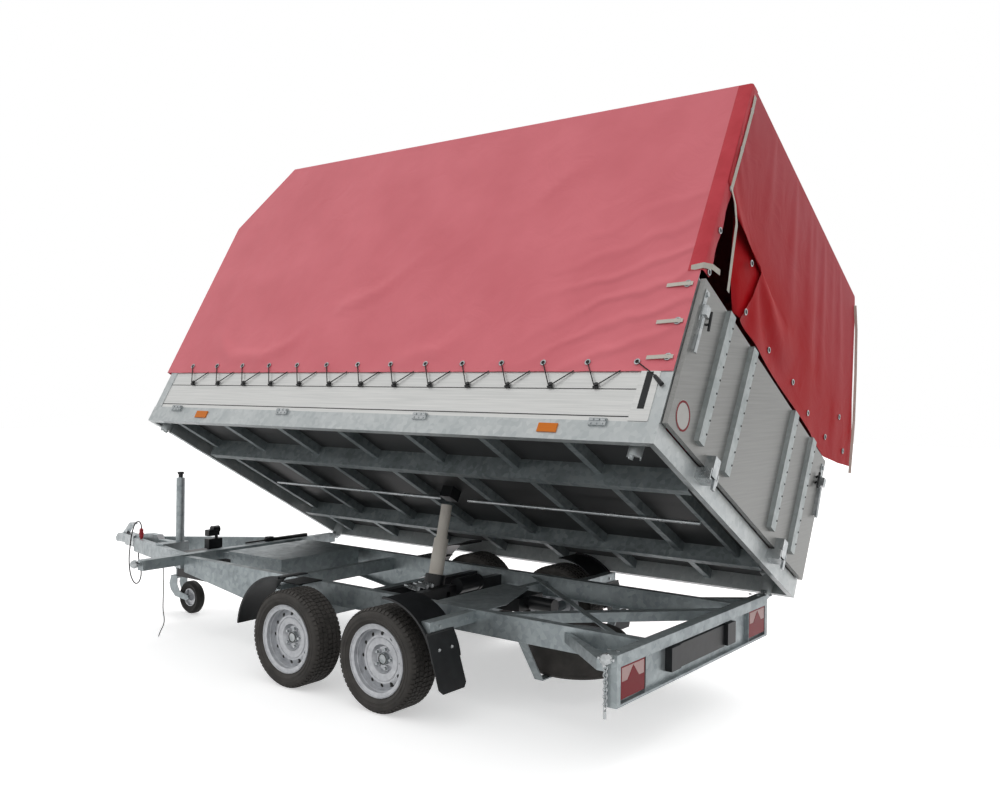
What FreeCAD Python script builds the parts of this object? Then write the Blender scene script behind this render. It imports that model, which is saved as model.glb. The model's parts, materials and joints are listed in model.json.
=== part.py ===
import FreeCAD, Part
import math
import os
import re
import Sketcher
from types import SimpleNamespace

# Dump trailer: a tandem-axle, three-way tipping trailer with a high cover.
# Millimetres. All pieces are laid out in workshop coordinates: x forward from the bed's rear end,
# y to the left from the middle plane, z up from the ground. The published pieces are then moved so
# that the origin is the centre of the tow ball's socket. Pieces of the bed are laid out on the bed
# itself, lying flat with its underside at z 0, and are then tipped.

doc = FreeCAD.newDocument("dump_trailer")
sheet = doc.addObject("Spreadsheet::Sheet", "sizes")

# Columns: alias, value in mm or degrees, what it is.
SIZES = [
    ("bed_length", 3654, "bed, rear end to front end"),
    ("bed_width", 1907, "bed, over its edge profiles"),
    ("edge_height", 101, "edge profile, top to bottom"),
    ("edge_width", 32, "edge profile, across"),
    ("floor_top", 96, "floor's upper side over the bed's underside"),
    ("floor_sheet", 4, "floor sheet's thickness"),
    ("bed_tilt", 28.77, "bed's tip to its right side, degrees"),
    ("bed_flat_height", 528, "bed's underside over the ground when it lies flat"),
    ("pivot_inset", 90.5, "tipping ball, in from the bed's side"),
    ("pivot_height", 497, "tipping ball over the ground"),
    ("ball_rear_x", 130, "rear tipping balls"),
    ("ball_inset", 94, "front tipping balls, behind the bed's front end"),
    ("tipping_ball", 27, "tipping ball's radius"),
    ("ball_gap", 0.6, "running gap of the tipping ball in its socket"),
    ("socket_radius", 33, "bed socket, outside radius"),
    ("wall_height", 744, "boards, posts and gate, over the edge profile"),
    ("board", 25, "side board's thickness"),
    ("post", 60, "corner post, square"),
    ("post_inset", 4.3, "corner post's outer face behind the bed's side"),
    ("cover_top", 2013, "cover's roof over the bed's underside"),
    ("cover_hem", 355, "lower hem of the cover's sides"),
    ("cover_cloth", 3, "cover's thickness"),
    ("bevel_back", 271, "front end of the flat roof, behind the bed's front end"),
    ("cover_bevel_drop", 485, "drop of the sloping front of the roof"),
    ("cover_overhang", 46, "cover's front face ahead of the bed"),
    ("cover_rear_x", 0, "rear end of the cover's sides"),
    ("curtain_reach", 1442, "loose corner of the curtain, outwards on the low side"),
    ("curtain_corner", 1056, "loose corner of the curtain over the bed's underside"),
    ("curtain_hem", 881, "curtain's lower hem"),
    ("gate_thick", 25, "rear gate's thickness"),
    ("gate_gap", 6, "gap between gate and posts"),
    ("gate_hinge_x", 62, "gate's hinge axis behind the bed's end"),
    ("gate_hinge_z", 78, "gate's hinge axis over the bed's underside"),
    ("hinge_pin", 8, "gate's hinge pin, radius"),
    ("stiff_inner", 330, "inner gate stiffener from the middle"),
    ("stiff_outer", 650, "outer gate stiffener from the middle"),
    ("stiff_width", 62, "gate stiffener, across"),
    ("stiff_depth", 26, "gate stiffener, front to back"),
    ("long_side", 500, "bed longitudinal, from the middle"),
    ("long_height", 108, "bed longitudinal, depth"),
    ("long_flange", 45, "bed longitudinal, flange"),
    ("cross_pitch", 500, "bed crossmembers, spacing"),
    ("cross_first", 520, "first bed crossmember"),
    ("cross_depth", 52, "bed crossmember, depth"),
    ("cross_width", 40, "bed crossmember, width"),
    ("sheet_steel", 4, "folded steel sheet"),
    ("rail_side", 520, "main rail's outer face from the middle"),
    ("rail_top", 507, "chassis top over the ground"),
    ("rail_depth", 120, "main rail, depth"),
    ("rail_flange", 50, "main rail, flange"),
    ("rail_rear_x", 160, "rail's rear end, against the rear crossbeam"),
    ("web_deep", 262, "deepest point of the rail's tapered web over the ground"),
    ("web_deep_x", 2560, "where the web is deepest"),
    ("web_end_height", 405, "web's lower edge at the front"),
    ("beam_wide", 60, "crossbeams, front to back"),
    ("beam_inset", 132.5, "crossbeam's end, in from the bed's side"),
    ("front_beam_low", 452, "front crossbeam's underside"),
    ("front_beam_top", 517, "front crossbeam's top"),
    ("rear_face_x", 100, "rear face of the rear crossbeam and valance"),
    ("rear_beam_low", 453, "rear crossbeam's lip"),
    ("valance_low", 282, "valance's lower edge"),
    ("end_post", 45, "valance's end posts, across"),
    ("lamp_width", 212, "tail lamp, across"),
    ("lamp_inset", 33, "tail lamp, in from the crossbeam's end"),
    ("lamp_low", 312, "tail lamp's lower edge"),
    ("lamp_high", 451, "tail lamp's upper edge"),
    ("arm_height", 100, "drawbar arm, depth"),
    ("arm_width", 50, "drawbar arm, across"),
    ("arm_rear_side", 482, "drawbar arm's middle line at the crossbeam"),
    ("arm_front_side", 52, "drawbar arm's middle line at its front end"),
    ("arm_rear_z", 467, "drawbar arm's middle height at the crossbeam"),
    ("arm_front_z", 402, "drawbar arm's middle height at its front end"),
    ("coupling_reach", 230, "tow ball ahead of the drawbar arms"),
    ("ball_x", 5030, "centre of the tow ball"),
    ("ball_height", 420, "centre of the tow ball over the ground"),
    ("tow_socket", 25.2, "tow ball socket's radius, for the standard 50 mm ball"),
    ("skirt", 22, "straight part of the tow ball socket"),
    ("axle_front_x", 2116, "front axle"),
    ("axle_spacing", 675, "axle spacing"),
    ("wheel_inset", 60.5, "tyre's outer face, in from the bed's side"),
    ("tyre_radius", 262.5, "road tyre's radius"),
    ("tyre_width", 195, "road tyre's width"),
    ("rim_radius", 165, "rim seat's radius"),
    ("flange_radius", 184, "rim flange's radius"),
    ("fit_gap", 0.3, "gap between a piece and its curved or soft seat"),
    ("hub_radius", 30, "hub's radius"),
    ("hub_gap", 0.05, "running gap of the hub"),
    ("swing_arm", 130, "axle tube ahead of the wheel's middle"),
    ("axle_tube", 80, "axle tube, square"),
    ("guard_radius", 320, "mudguard's radius"),
    ("guard_shift", 66, "mudguard's middle, outwards from its axle"),
    ("guard_rise", 4, "mudguard's middle over the axle"),
    ("guard_sheet", 5, "mudguard's thickness"),
    ("guard_width", 215, "mudguard's width"),
    ("guard_lip", 6, "rolled outer edge of the mudguard"),
    ("flap_top", 455, "mud flap's upper edge"),
    ("flap_low", 180, "mud flap's lower edge"),
    ("flap_lean", 90, "how far the flap leans back at its lower edge"),
    ("ram_x", 1830, "ram's pivot"),
    ("ram_height", 420, "ram's pivot over the ground"),
    ("ram_lean", 13.15, "ram's lean at rest, degrees"),
    ("ram_base_radius", 60, "ram's base"),
    ("ram_base_top", 105, "ram's base over its pivot"),
    ("ram_base_low", 295, "ram's base under its pivot"),
    ("stage_1_radius", 43, "ram's first stage"),
    ("stage_1_top", 318, "first stage's top over the pivot, at rest"),
    ("stage_1_length", 380, "first stage's length"),
    ("stage_2_radius", 33, "ram's second stage"),
    ("stage_2_top", 520, "second stage's top over the pivot, at rest"),
    ("stage_2_length", 360, "second stage's length"),
    ("ram_gap", 1, "running gap between the stages"),
    ("jockey_y", 118, "jockey tube, sideways"),
    ("jockey_tube", 30, "jockey tube's radius"),
    ("jockey_top", 960, "jockey tube's top"),
    ("jockey_low", 300, "jockey tube's lower end"),
    ("jockey_trail", 150, "jockey wheel's trail"),
    ("jockey_wheel_radius", 115, "jockey wheel's radius"),
    ("jockey_wheel_width", 68, "jockey wheel's width"),
    ("spare_x", 815, "spare wheel's middle"),
    ("spare_low", 155, "spare wheel's underside"),
    ("toolbox_gap", 123, "toolbox lid's front edge, behind the front crossbeam"),
    ("toolbox_long", 532, "toolbox lid, front to back"),
    ("member_gap", 225, "front crossmember's middle, behind the toolbox"),
    ("toolbox_left", 262, "toolbox lid's left edge"),
    ("toolbox_right", -440, "toolbox lid's right edge"),
    ("lid_top", 524, "toolbox lid over the ground"),
    ("cable_radius", 4.5, "plug cable's radius"),
    ("lanyard_radius", 3, "lanyard's radius"),
    ("link_radius", 10, "chain link, middle line"),
    ("link_wire", 2.5, "chain link's wire, radius"),
    ("link_pitch", 15.5, "chain links, spacing"),
]
for line, (alias, value, note) in enumerate(SIZES, 1):
    sheet.set("A%d" % line, alias)
    sheet.set("B%d" % line, str(value))
    sheet.set("C%d" % line, note)
    sheet.setAlias("B%d" % line, alias)
doc.recompute()
ALIASES = {alias for alias, value, note in SIZES}
# Places that follow from the sizes above.
DERIVED = {
    "ball_front_x": "(bed_length - ball_inset)",
    "rail_front_x": "(bed_length - ball_inset - beam_wide / 2)",
    "cover_bevel_x": "(bed_length - bevel_back)",
    "pivot_side": "(bed_width / 2 - pivot_inset)",
    "beam_side": "(bed_width / 2 - beam_inset)",
    "wheel_out": "(bed_width / 2 - wheel_inset)",
    "lamp_out": "(bed_width / 2 - beam_inset - lamp_inset)",
    "lamp_in": "(bed_width / 2 - beam_inset - lamp_inset - lamp_width)",
    "arm_front_x": "(ball_x - coupling_reach)",
    "arm_rear_x": "(rail_front_x + beam_wide)",
    "jockey_x": "(arm_rear_x + (ball_x - arm_rear_x) * 7 / 18)",
    "overrun_rear_x": "(ball_x - 610)",
    "toolbox_front": "(rail_front_x - toolbox_gap)",
    "toolbox_rear": "(rail_front_x - toolbox_gap - toolbox_long)",
    "member_front_x": "(rail_front_x - toolbox_gap - toolbox_long - member_gap)",
    "battery_front_x": "(arm_rear_x + (jockey_x - arm_rear_x) * 33 / 56)",
}
s = SimpleNamespace(**{alias: float(sheet.get(alias)) for alias in ALIASES})


def formula(text):
    """An expression on the sheet's cells, from a text that names them."""
    def cell(word):
        name = word.group(0)
        if name in DERIVED:
            return formula(DERIVED[name])
        return "sizes." + name if name in ALIASES else name
    return re.sub(r"[a-z_][a-z_0-9]*", cell, str(text))


def bind(piece, **cells):
    for name, text in cells.items():
        piece.setExpression(name.replace("__", "."), formula(text))
    return piece


def place(piece, x, y, z):
    return bind(piece, Placement__Base__x=x, Placement__Base__y=y, Placement__Base__z=z)


def box(name, x, y, z):
    """A box between two corners; each of x, y and z is a pair of expressions, low and high."""
    piece = doc.addObject("Part::Box", name)
    bind(piece, Length="(%s) - (%s)" % (x[1], x[0]), Width="(%s) - (%s)" % (y[1], y[0]),
         Height="(%s) - (%s)" % (z[1], z[0]))
    return place(piece, x[0], y[0], z[0])


AXIS_TURN = {"x": FreeCAD.Rotation(FreeCAD.Vector(0, 1, 0), 90),
             "y": FreeCAD.Rotation(FreeCAD.Vector(1, 0, 0), -90), "z": FreeCAD.Rotation()}


def rod(name, axis, radius, length, x, y, z):
    """A round bar that starts at x, y, z and runs along an axis."""
    piece = doc.addObject("Part::Cylinder", name)
    piece.Placement = FreeCAD.Placement(FreeCAD.Vector(), AXIS_TURN[axis])
    return place(bind(piece, Radius=radius, Height=length), x, y, z)


def ball(name, radius, x, y, z):
    piece = doc.addObject("Part::Sphere", name)
    return place(bind(piece, Radius=radius), x, y, z)


PLANES = {"XY": "XY_Plane", "XZ": "XZ_Plane", "YZ": "YZ_Plane"}


def outline(body, plane, points):
    """A closed sketch on one of the body's own planes; points are pairs of expressions."""
    sketch = body.newObject("Sketcher::SketchObject", body.Name + "_sketch")
    role = PLANES[plane]
    base = [feature for feature in body.Origin.OriginFeatures if feature.Role == role][0]
    sketch.AttachmentSupport = (base, "")
    sketch.MapMode = "FlatFace"
    count = len(points)
    for index in range(count):
        # A rough start; the bound distances below put each corner in its place.
        turn = 2 * math.pi * index / count
        turn_next = 2 * math.pi * (index + 1) / count
        start = FreeCAD.Vector(100 * math.cos(turn), 100 * math.sin(turn), 0)
        end = FreeCAD.Vector(100 * math.cos(turn_next), 100 * math.sin(turn_next), 0)
        sketch.addGeometry(Part.LineSegment(start, end), False)
    for index in range(count):
        sketch.addConstraint(Sketcher.Constraint("Coincident", index, 2, (index + 1) % count, 1))
    for index, (across, up) in enumerate(points):
        for kind, text in (("DistanceX", across), ("DistanceY", up)):
            number = sketch.addConstraint(Sketcher.Constraint(kind, -1, 1, index, 1, 1.0))
            sketch.setExpression("Constraints[%d]" % number, formula(text))
    return sketch


def prism(name, plane, points, middle, thick):
    """A padded outline, centred on a place along the plane's normal."""
    body = doc.addObject("PartDesign::Body", name)
    sketch = outline(body, plane, points)
    pad = body.newObject("PartDesign::Pad", name + "_pad")
    pad.Profile = sketch
    pad.Midplane = True
    bind(pad, Length=thick)
    sketch.Visibility = False
    along = {"XY": "z", "XZ": "y", "YZ": "x"}[plane]
    body.setExpression("Placement.Base." + along, formula(middle))
    return body


def turned(name, points, side, x, y, z):
    """A ring or disc turned about the y axis; points are radius and distance outwards along y."""
    body = doc.addObject("PartDesign::Body", name)
    sketch = outline(body, "XZ", points)
    spin = body.newObject("PartDesign::Revolution", name + "_turn")
    spin.Profile = sketch
    spin.ReferenceAxis = (sketch, ["V_Axis"])
    spin.Angle = 360
    # A sketch on XZ has its second axis up; -90 degrees about x turns that axis to the left.
    body.Placement = FreeCAD.Placement(FreeCAD.Vector(), FreeCAD.Rotation(FreeCAD.Vector(1, 0, 0), -90 * side))
    return place(body, x, y, z)


def fuse(name, pieces):
    piece = doc.addObject("Part::MultiFuse", name)
    piece.Shapes = pieces
    return piece


def cut(name, base, tools):
    piece = doc.addObject("Part::Cut", name)
    piece.Base = base
    piece.Tool = tools[0] if len(tools) == 1 else fuse(name + "_tools", tools)
    return piece


def bundle(name, pieces):
    piece = doc.addObject("Part::Compound", name)
    piece.Links = pieces
    return piece


NODES = []


def on_chassis(label, pieces):
    """Publishes pieces laid out in workshop coordinates as one node."""
    piece = bundle("node_" + label, pieces)
    piece.Label = label
    NODES.append(piece)
    return place(piece, "-ball_x", "0", "-ball_height")


# Underside of the flat bed over the tipping balls' centres.
RISE = "(bed_flat_height - pivot_height)"


def on_bed(label, pieces):
    """Publishes pieces laid out on the flat bed as one node, tipped about the right-hand balls."""
    piece = bundle("node_" + label, pieces)
    piece.Label = label
    piece.Placement = FreeCAD.Placement(FreeCAD.Vector(), FreeCAD.Rotation(FreeCAD.Vector(1, 0, 0), s.bed_tilt))
    NODES.append(piece)
    sine, cosine = "sin(bed_tilt * 1 deg)", "cos(bed_tilt * 1 deg)"
    bind(piece, Placement__Rotation__Angle="bed_tilt * 1 deg")
    return place(piece, "-ball_x", "-pivot_side + pivot_side * %s - %s * %s" % (cosine, RISE, sine),
                 "pivot_height + pivot_side * %s + %s * %s - ball_height" % (sine, RISE, cosine))


def on_ram(label, pieces):
    """Publishes pieces laid out along the ram, upright over its pivot, leaned to the right."""
    piece = bundle("node_" + label, pieces)
    piece.Label = label
    piece.Placement = FreeCAD.Placement(FreeCAD.Vector(), FreeCAD.Rotation(FreeCAD.Vector(1, 0, 0), s.ram_lean))
    bind(piece, Placement__Rotation__Angle="ram_lean * 1 deg")
    NODES.append(piece)
    return place(piece, "ram_x - ball_x", "0", "ram_height - ball_height")


def both(low, high, side):
    """The span low to high on the left, or its mirror image on the right."""
    return (low, high) if side > 0 else ("-(%s)" % high, "-(%s)" % low)


SIDES = (("left", 1), ("right", -1))


# MAIN RAILS: folded channels that open inwards, with a deep tapered web ahead of the wheels.
def main_rails():
    rails = []
    low = "rail_top - rail_depth"
    web = [("rail_rear_x", low), ("web_deep_x - 240", low), ("web_deep_x", "web_deep"),
           ("rail_front_x", "web_end_height"), ("rail_front_x", "rail_top"), ("rail_rear_x", "rail_top")]
    lip = [("rail_rear_x", low), ("web_deep_x - 240", low), ("web_deep_x", "web_deep"),
           ("rail_front_x", "web_end_height"), ("rail_front_x", "web_end_height + sheet_steel"),
           ("web_deep_x", "web_deep + sheet_steel"), ("web_deep_x - 240", low + " + sheet_steel"),
           ("rail_rear_x", low + " + sheet_steel")]
    for word, side in SIDES:
        sign = "" if side > 0 else "-"
        plate = prism("rail_web_" + word, "XZ", web, "%s(rail_side - sheet_steel / 2)" % sign, "sheet_steel")
        foot = prism("rail_foot_" + word, "XZ", lip, "%s(rail_side - rail_flange / 2)" % sign, "rail_flange")
        top = box("rail_top_" + word, ("rail_rear_x", "rail_front_x"),
                  both("rail_side - rail_flange", "rail_side", side), ("rail_top - sheet_steel", "rail_top"))
        rails.append(fuse("rail_" + word, [plate, foot, top]))
    on_chassis("main_rails", rails)


# CROSSBEAMS with the end posts that carry the valance.
def crossbeams():
    front = box("front_beam", ("rail_front_x", "rail_front_x + beam_wide"), ("-beam_side", "beam_side"),
                ("front_beam_low", "front_beam_top"))
    on_chassis("front_crossbeam", [front])
    rear = box("rear_beam", ("rear_face_x", "rail_rear_x"), ("-beam_side", "beam_side"),
               ("rear_beam_low", "rail_top"))
    posts = [box("end_post_" + word, ("rear_face_x", "rail_rear_x"),
                 both("beam_side - end_post + 12", "beam_side", side), ("valance_low", "rear_beam_low"))
             for word, side in SIDES]
    on_chassis("rear_crossbeam", [fuse("rear_beam_frame", [rear] + posts)])


def valance():
    inner = "beam_side - end_post + 12"
    panel = box("valance_panel", ("rear_face_x + 22", "rear_face_x + 25"), ("-(%s)" % inner, inner),
                ("valance_low", "rear_beam_low"))
    lip = box("valance_lip", ("rear_face_x", "rear_face_x + 25"), ("-(%s)" % inner, inner),
              ("valance_low", "valance_low + 12"))
    ribs = [box("valance_rib_" + word, ("rear_face_x", "rear_face_x + 25"),
                both("lamp_in - 10", "lamp_in - 7", side), ("valance_low", "rear_beam_low"))
            for word, side in SIDES]
    on_chassis("rear_valance", [fuse("valance", [panel, lip] + ribs)])
    lamps = [box("lamp_" + word, ("rear_face_x + 2", "rear_face_x + 22"), both("lamp_in", "lamp_out - 6", side),
                 ("lamp_low", "lamp_high")) for word, side in SIDES]
    on_chassis("tail_lamps", lamps)
    holder = box("plate_panel", ("rear_face_x + 4", "rear_face_x + 22"), ("-270", "250"), ("330", "440"))
    boxes = [box("plate_lamp_%d" % n, ("rear_face_x - 14", "rear_face_x + 22"), (a, b), ("335", "445"))
             for n, (a, b) in enumerate((("251", "345"), ("-365", "-271")))]
    on_chassis("plate_holder", [holder] + boxes)


# DRAWBAR: two box arms from the front crossbeam to the overrun device.
def drawbar():
    arms = []
    for word, side in SIDES:
        arm = prism("arm_" + word, "XY", [
            ("arm_rear_x", "%d * (arm_rear_side + arm_width / 2)" % side),
            ("arm_front_x", "%d * (arm_front_side + arm_width / 2)" % side),
            ("arm_front_x", "%d * (arm_front_side - arm_width / 2)" % side),
            ("arm_rear_x", "%d * (arm_rear_side - arm_width / 2)" % side)], "0", "400")
        slope = prism("arm_slope_" + word, "XZ", [
            ("arm_rear_x", "arm_rear_z - arm_height / 2"),
            ("arm_front_x", "arm_front_z - arm_height / 2"), ("arm_front_x", "arm_front_z + arm_height / 2"),
            ("arm_rear_x", "arm_rear_z + arm_height / 2")], "0", "4000")
        arm.setExpression("Placement.Base.z", formula("arm_rear_z"))
        common = doc.addObject("Part::Common", "arm_solid_" + word)
        common.Base = arm
        common.Tool = slope
        arms.append(common)
    on_chassis("drawbar_arms", arms)
    return arms


# OVERRUN DEVICE and COUPLING, with the raised handle.
def coupling():
    half = "arm_front_side - arm_width / 2"
    body = box("overrun_body", ("overrun_rear_x", "arm_front_x + 60"), ("-(%s)" % half, half), ("358", "460"))
    top = prism("overrun_top", "XZ", [
        ("ball_x - 480", "460"), ("arm_front_x + 60", "460"), ("arm_front_x + 60", "468"),
        ("ball_x - 330", "492"), ("ball_x - 460", "492")], "0", "2 * (%s)" % half)
    on_chassis("overrun_device", [fuse("overrun", [body, top])])
    head = prism("coupling_solid", "XZ", [
        ("arm_front_x + 60", "376"), ("ball_x - 60", "380"), ("ball_x - 48", "ball_height - skirt"),
        ("ball_x + 62", "ball_height - skirt"), ("ball_x + 74", "ball_height + 6"),
        ("ball_x + 44", "ball_height + 42"), ("ball_x - 30", "ball_height + 50"), ("arm_front_x + 60", "458")],
        "0", "84")
    hollow = fuse("tow_hollow", [
        ball("tow_cup", "tow_socket", "ball_x", "0", "ball_height"),
        rod("tow_skirt", "z", "tow_socket", "skirt + 5", "ball_x", "0", "ball_height - skirt - 5")])
    handle = prism("coupling_handle", "XZ", [
        ("ball_x + 20", "ball_height + 40"), ("ball_x - 30", "ball_height + 44"),
        ("ball_x - 92", "ball_height + 112"), ("ball_x - 134", "ball_height + 120"),
        ("ball_x - 134", "ball_height + 136"), ("ball_x - 78", "ball_height + 134")], "0", "34")
    on_chassis("coupling_head", [cut("coupling", fuse("coupling_block", [head, handle]), [hollow])])


def cord(name, radius, points):
    """A round cord: straight runs joined by tangent arcs that take 0.45 of the shorter run."""
    corners = [FreeCAD.Vector(*point) for point in points]
    edges = []
    start = corners[0]
    bends = []
    for before, corner, after in zip(corners, corners[1:], corners[2:]):
        back = before - corner
        ahead = after - corner
        reach = 0.45 * min(back.Length, ahead.Length)
        half_turn = (math.pi - back.getAngle(ahead)) / 2
        bend = reach / math.tan(half_turn)
        bends.append(bend)
        back.normalize()
        ahead.normalize()
        arc_start = corner + back * reach
        arc_end = corner + ahead * reach
        inwards = (back + ahead).normalize()
        arc_middle = corner + inwards * (bend / math.cos(half_turn) - bend)
        edges.append(Part.LineSegment(start, arc_start).toShape())
        edges.append(Part.Arc(arc_start, arc_middle, arc_end).toShape())
        start = arc_end
    edges.append(Part.LineSegment(start, corners[-1]).toShape())
    route = Part.Wire(edges)
    ring = Part.Wire(Part.makeCircle(radius, corners[0], corners[1] - corners[0]))
    piece = doc.addObject("Part::Feature", name)
    piece.Shape = route.makePipeShell([ring], True, False)
    print("%s: length %.0f mm, bend radii %s" % (name, route.Length, " ".join("%.0f" % bend for bend in bends)))
    return piece


# CORDS: the plug cable with its arch and loop, and the lanyard under the front crossbeam.
def cords(arms):
    plug_x = s.ball_x - 343
    end_x = s.ball_x - 278
    holder = cut("plug_holder", rod("plug_holder_bar", "z", "10", "40", "ball_x - 343", "85", "430"), list(arms))
    gland = cut("cable_gland", rod("cable_gland_bar", "z", "8", "40", "ball_x - 278", "66", "345"), list(arms))
    on_chassis("cable_plug", [gland, fuse("plug_all", [
        holder, rod("plug_body", "z", "15", "62", "ball_x - 343", "85", "470"),
        rod("plug_collar", "z", "19", "8", "ball_x - 343", "85", "494"),
        rod("plug_neck", "z", "8", "8", "ball_x - 343", "85", "532")])])
    route = [(plug_x, 85, 540), (plug_x, 85, 568), (plug_x + 35, 84, 592), (plug_x + 85, 82, 574),
             (plug_x + 119, 80, 524), (plug_x + 146, 78, 457), (plug_x + 163, 76, 386), (plug_x + 179, 74, 300),
             (plug_x + 177, 72, 216), (plug_x + 151, 71, 140), (plug_x + 98, 70, 98), (plug_x + 48, 68, 120),
             (plug_x + 23, 67, 175), (plug_x + 31, 66, 236), (end_x, 66, 290), (end_x, 66, 345)]
    on_chassis("plug_cable", [cord("plug_cable_solid", s.cable_radius, route)])
    hang_x = s.bed_length - s.ball_inset
    hang_y = s.bed_width / 2 - s.beam_inset - 166
    low = s.front_beam_low
    drops = [(0, 0), (0, -67), (-4, -140), (-1, -212), (0, -278), (-12, -334), (-8, -374), (20, -416), (30, -444)]
    line = [(hang_x, hang_y + side, low + down) for side, down in drops]
    on_chassis("lanyard", [cord("lanyard_solid", s.lanyard_radius, line)])


def jockey(arms):
    place_at = ("jockey_x", "jockey_y")
    tube = cut("jockey_tube_solid", rod("jockey_tube_out", "z", "jockey_tube", "jockey_top - jockey_low",
               *place_at, "jockey_low"), [rod("jockey_tube_in", "z", "jockey_tube - 3.5",
               "jockey_top - jockey_low - 30", *place_at, "jockey_low - 1")])
    knob = rod("jockey_knob", "z", "14", "42", *place_at, "jockey_top")
    leg = rod("jockey_leg_solid", "z", "jockey_tube - 4.5", "520", *place_at, "jockey_low - 45")
    on_chassis("jockey_leg", [leg])
    half = "jockey_wheel_width / 2 + 6"
    plates = [prism("fork_side_" + word, "XZ", [
        ("jockey_x - 32", "jockey_low - 60"), ("jockey_x + 44", "jockey_low - 60"),
        ("jockey_x + 62", "jockey_low - 105"), ("jockey_x + 44", "jockey_low - 150"),
        ("jockey_x - 10", "jockey_low - 190"), ("jockey_x - jockey_trail + 6", "jockey_wheel_radius - 20"),
        ("jockey_x - jockey_trail - 18", "jockey_wheel_radius - 4"),
        ("jockey_x - jockey_trail - 6", "jockey_wheel_radius + 18"), ("jockey_x - 62", "jockey_low - 152"),
        ("jockey_x - 30", "jockey_low - 105")],
        "jockey_y + %d * (%s + 2)" % (side, half), "4") for word, side in SIDES]
    crown = box("fork_crown", ("jockey_x - 32", "jockey_x + 44"), ("jockey_y - (%s) - 4" % half,
                "jockey_y + (%s) + 4" % half), ("jockey_low - 60", "jockey_low - 45 - fit_gap"))
    pin = rod("fork_pin", "y", "7.9", "2 * (%s) + 4" % half, "jockey_x - jockey_trail",
              "jockey_y - (%s) - 2" % half, "jockey_wheel_radius")
    on_chassis("jockey_fork", [fuse("fork", plates + [crown, pin])])
    wheel = turned("jockey_wheel_solid", [
        ("62", "-18"), ("jockey_wheel_radius - 15", "-jockey_wheel_width / 2"),
        ("jockey_wheel_radius", "-jockey_wheel_width / 4"), ("jockey_wheel_radius", "jockey_wheel_width / 4"),
        ("jockey_wheel_radius - 15", "jockey_wheel_width / 2"), ("62", "18")], 1,
        "jockey_x - jockey_trail", "jockey_y", "jockey_wheel_radius")
    on_chassis("jockey_wheel", [wheel])
    rim = turned("jockey_rim_solid", [
        ("8", "-30"), ("20", "-30"), ("24", "-8"), ("50", "-8"), ("56", "-22"), ("62", "-22"), ("62", "22"),
        ("56", "22"), ("50", "8"), ("24", "8"), ("20", "30"), ("8", "30")], 1,
        "jockey_x - jockey_trail", "jockey_y", "jockey_wheel_radius")
    on_chassis("jockey_rim", [rim])
    clamp = cut("jockey_clamp_solid", box("clamp_block", ("jockey_x - 45", "jockey_x + 45"),
                ("jockey_y - 42", "jockey_y + 170"), ("arm_front_z - 20", "500")),
                [rod("clamp_bore", "z", "jockey_tube", "400", *place_at, "arm_front_z - 100")])
    on_chassis("jockey_tube", [fuse("jockey_tube_all", [tube, knob, cut("jockey_clamp", clamp, list(arms))])])


# AXLES: a square torsion tube under the rails, with a swing arm and a hub stub at each end.
def axles():
    axles = []
    tube_top = "rail_top - rail_depth"
    tube_middle = "(rail_top - rail_depth - axle_tube / 2)"
    for word, x in (("front", "axle_front_x"), ("rear", "(axle_front_x - axle_spacing)")):
        tube = box("axle_tube_" + word, (x + " + swing_arm - axle_tube / 2", x + " + swing_arm + axle_tube / 2"),
                   ("-600", "600"), (tube_top + " - axle_tube", tube_top))
        pieces = [tube]
        for name, side in SIDES:
            pieces.append(prism("swing_arm_%s_%s" % (word, name), "XZ", [
                (x + " - 38", "tyre_radius - 20"), (x + " + 10", "tyre_radius - 38"),
                (x + " + swing_arm + 36", tube_middle + " - 20"), (x + " + swing_arm + 20", tube_middle + " + 38"),
                (x + " + swing_arm - 20", tube_middle + " + 38"), (x + " - 30", "tyre_radius + 30")],
                "%d * 614" % side, "28"))
            pieces.append(rod("axle_stub_%s_%s" % (word, name), "y", "hub_radius - hub_gap",
                              "wheel_out - tyre_width / 2 + 24 - 610", x,
                              "610" if side > 0 else "-(wheel_out - tyre_width / 2 + 24)", "tyre_radius"))
        axles.append(fuse("axle_all_" + word, pieces))
    on_chassis("axles", axles)


# ROAD WHEELS: tyre and dished steel rim, turned outlines of radius and place across the wheel.
def tyre_outline():
    return [("rim_radius + fit_gap", "-75.5"), ("flange_radius + 1", "-79.5"), ("flange_radius + 10", "-89"),
            ("flange_radius + 34", "-tyre_width / 2"),
            ("tyre_radius - 26", "-tyre_width / 2"), ("tyre_radius - 6", "-82"), ("tyre_radius", "-70"),
            ("tyre_radius", "70"), ("tyre_radius - 6", "82"), ("tyre_radius - 26", "tyre_width / 2"),
            ("flange_radius + 34", "tyre_width / 2"), ("flange_radius + 10", "89"), ("flange_radius + 1", "79.5"),
            ("rim_radius + fit_gap", "75.5")]


RIM_OUTLINE = [("hub_radius", "8"), ("62", "8"), ("78", "30"), ("118", "34"), ("140", "20"), ("150", "-20"),
               ("155", "-78"), ("flange_radius", "-84"), ("flange_radius", "-80"), ("rim_radius", "-76"),
               ("rim_radius", "76"), ("flange_radius", "80"), ("flange_radius", "84"), ("158", "78"),
               ("153", "30"), ("120", "42"), ("74", "38"), ("60", "16"), ("hub_radius", "16")]


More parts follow.
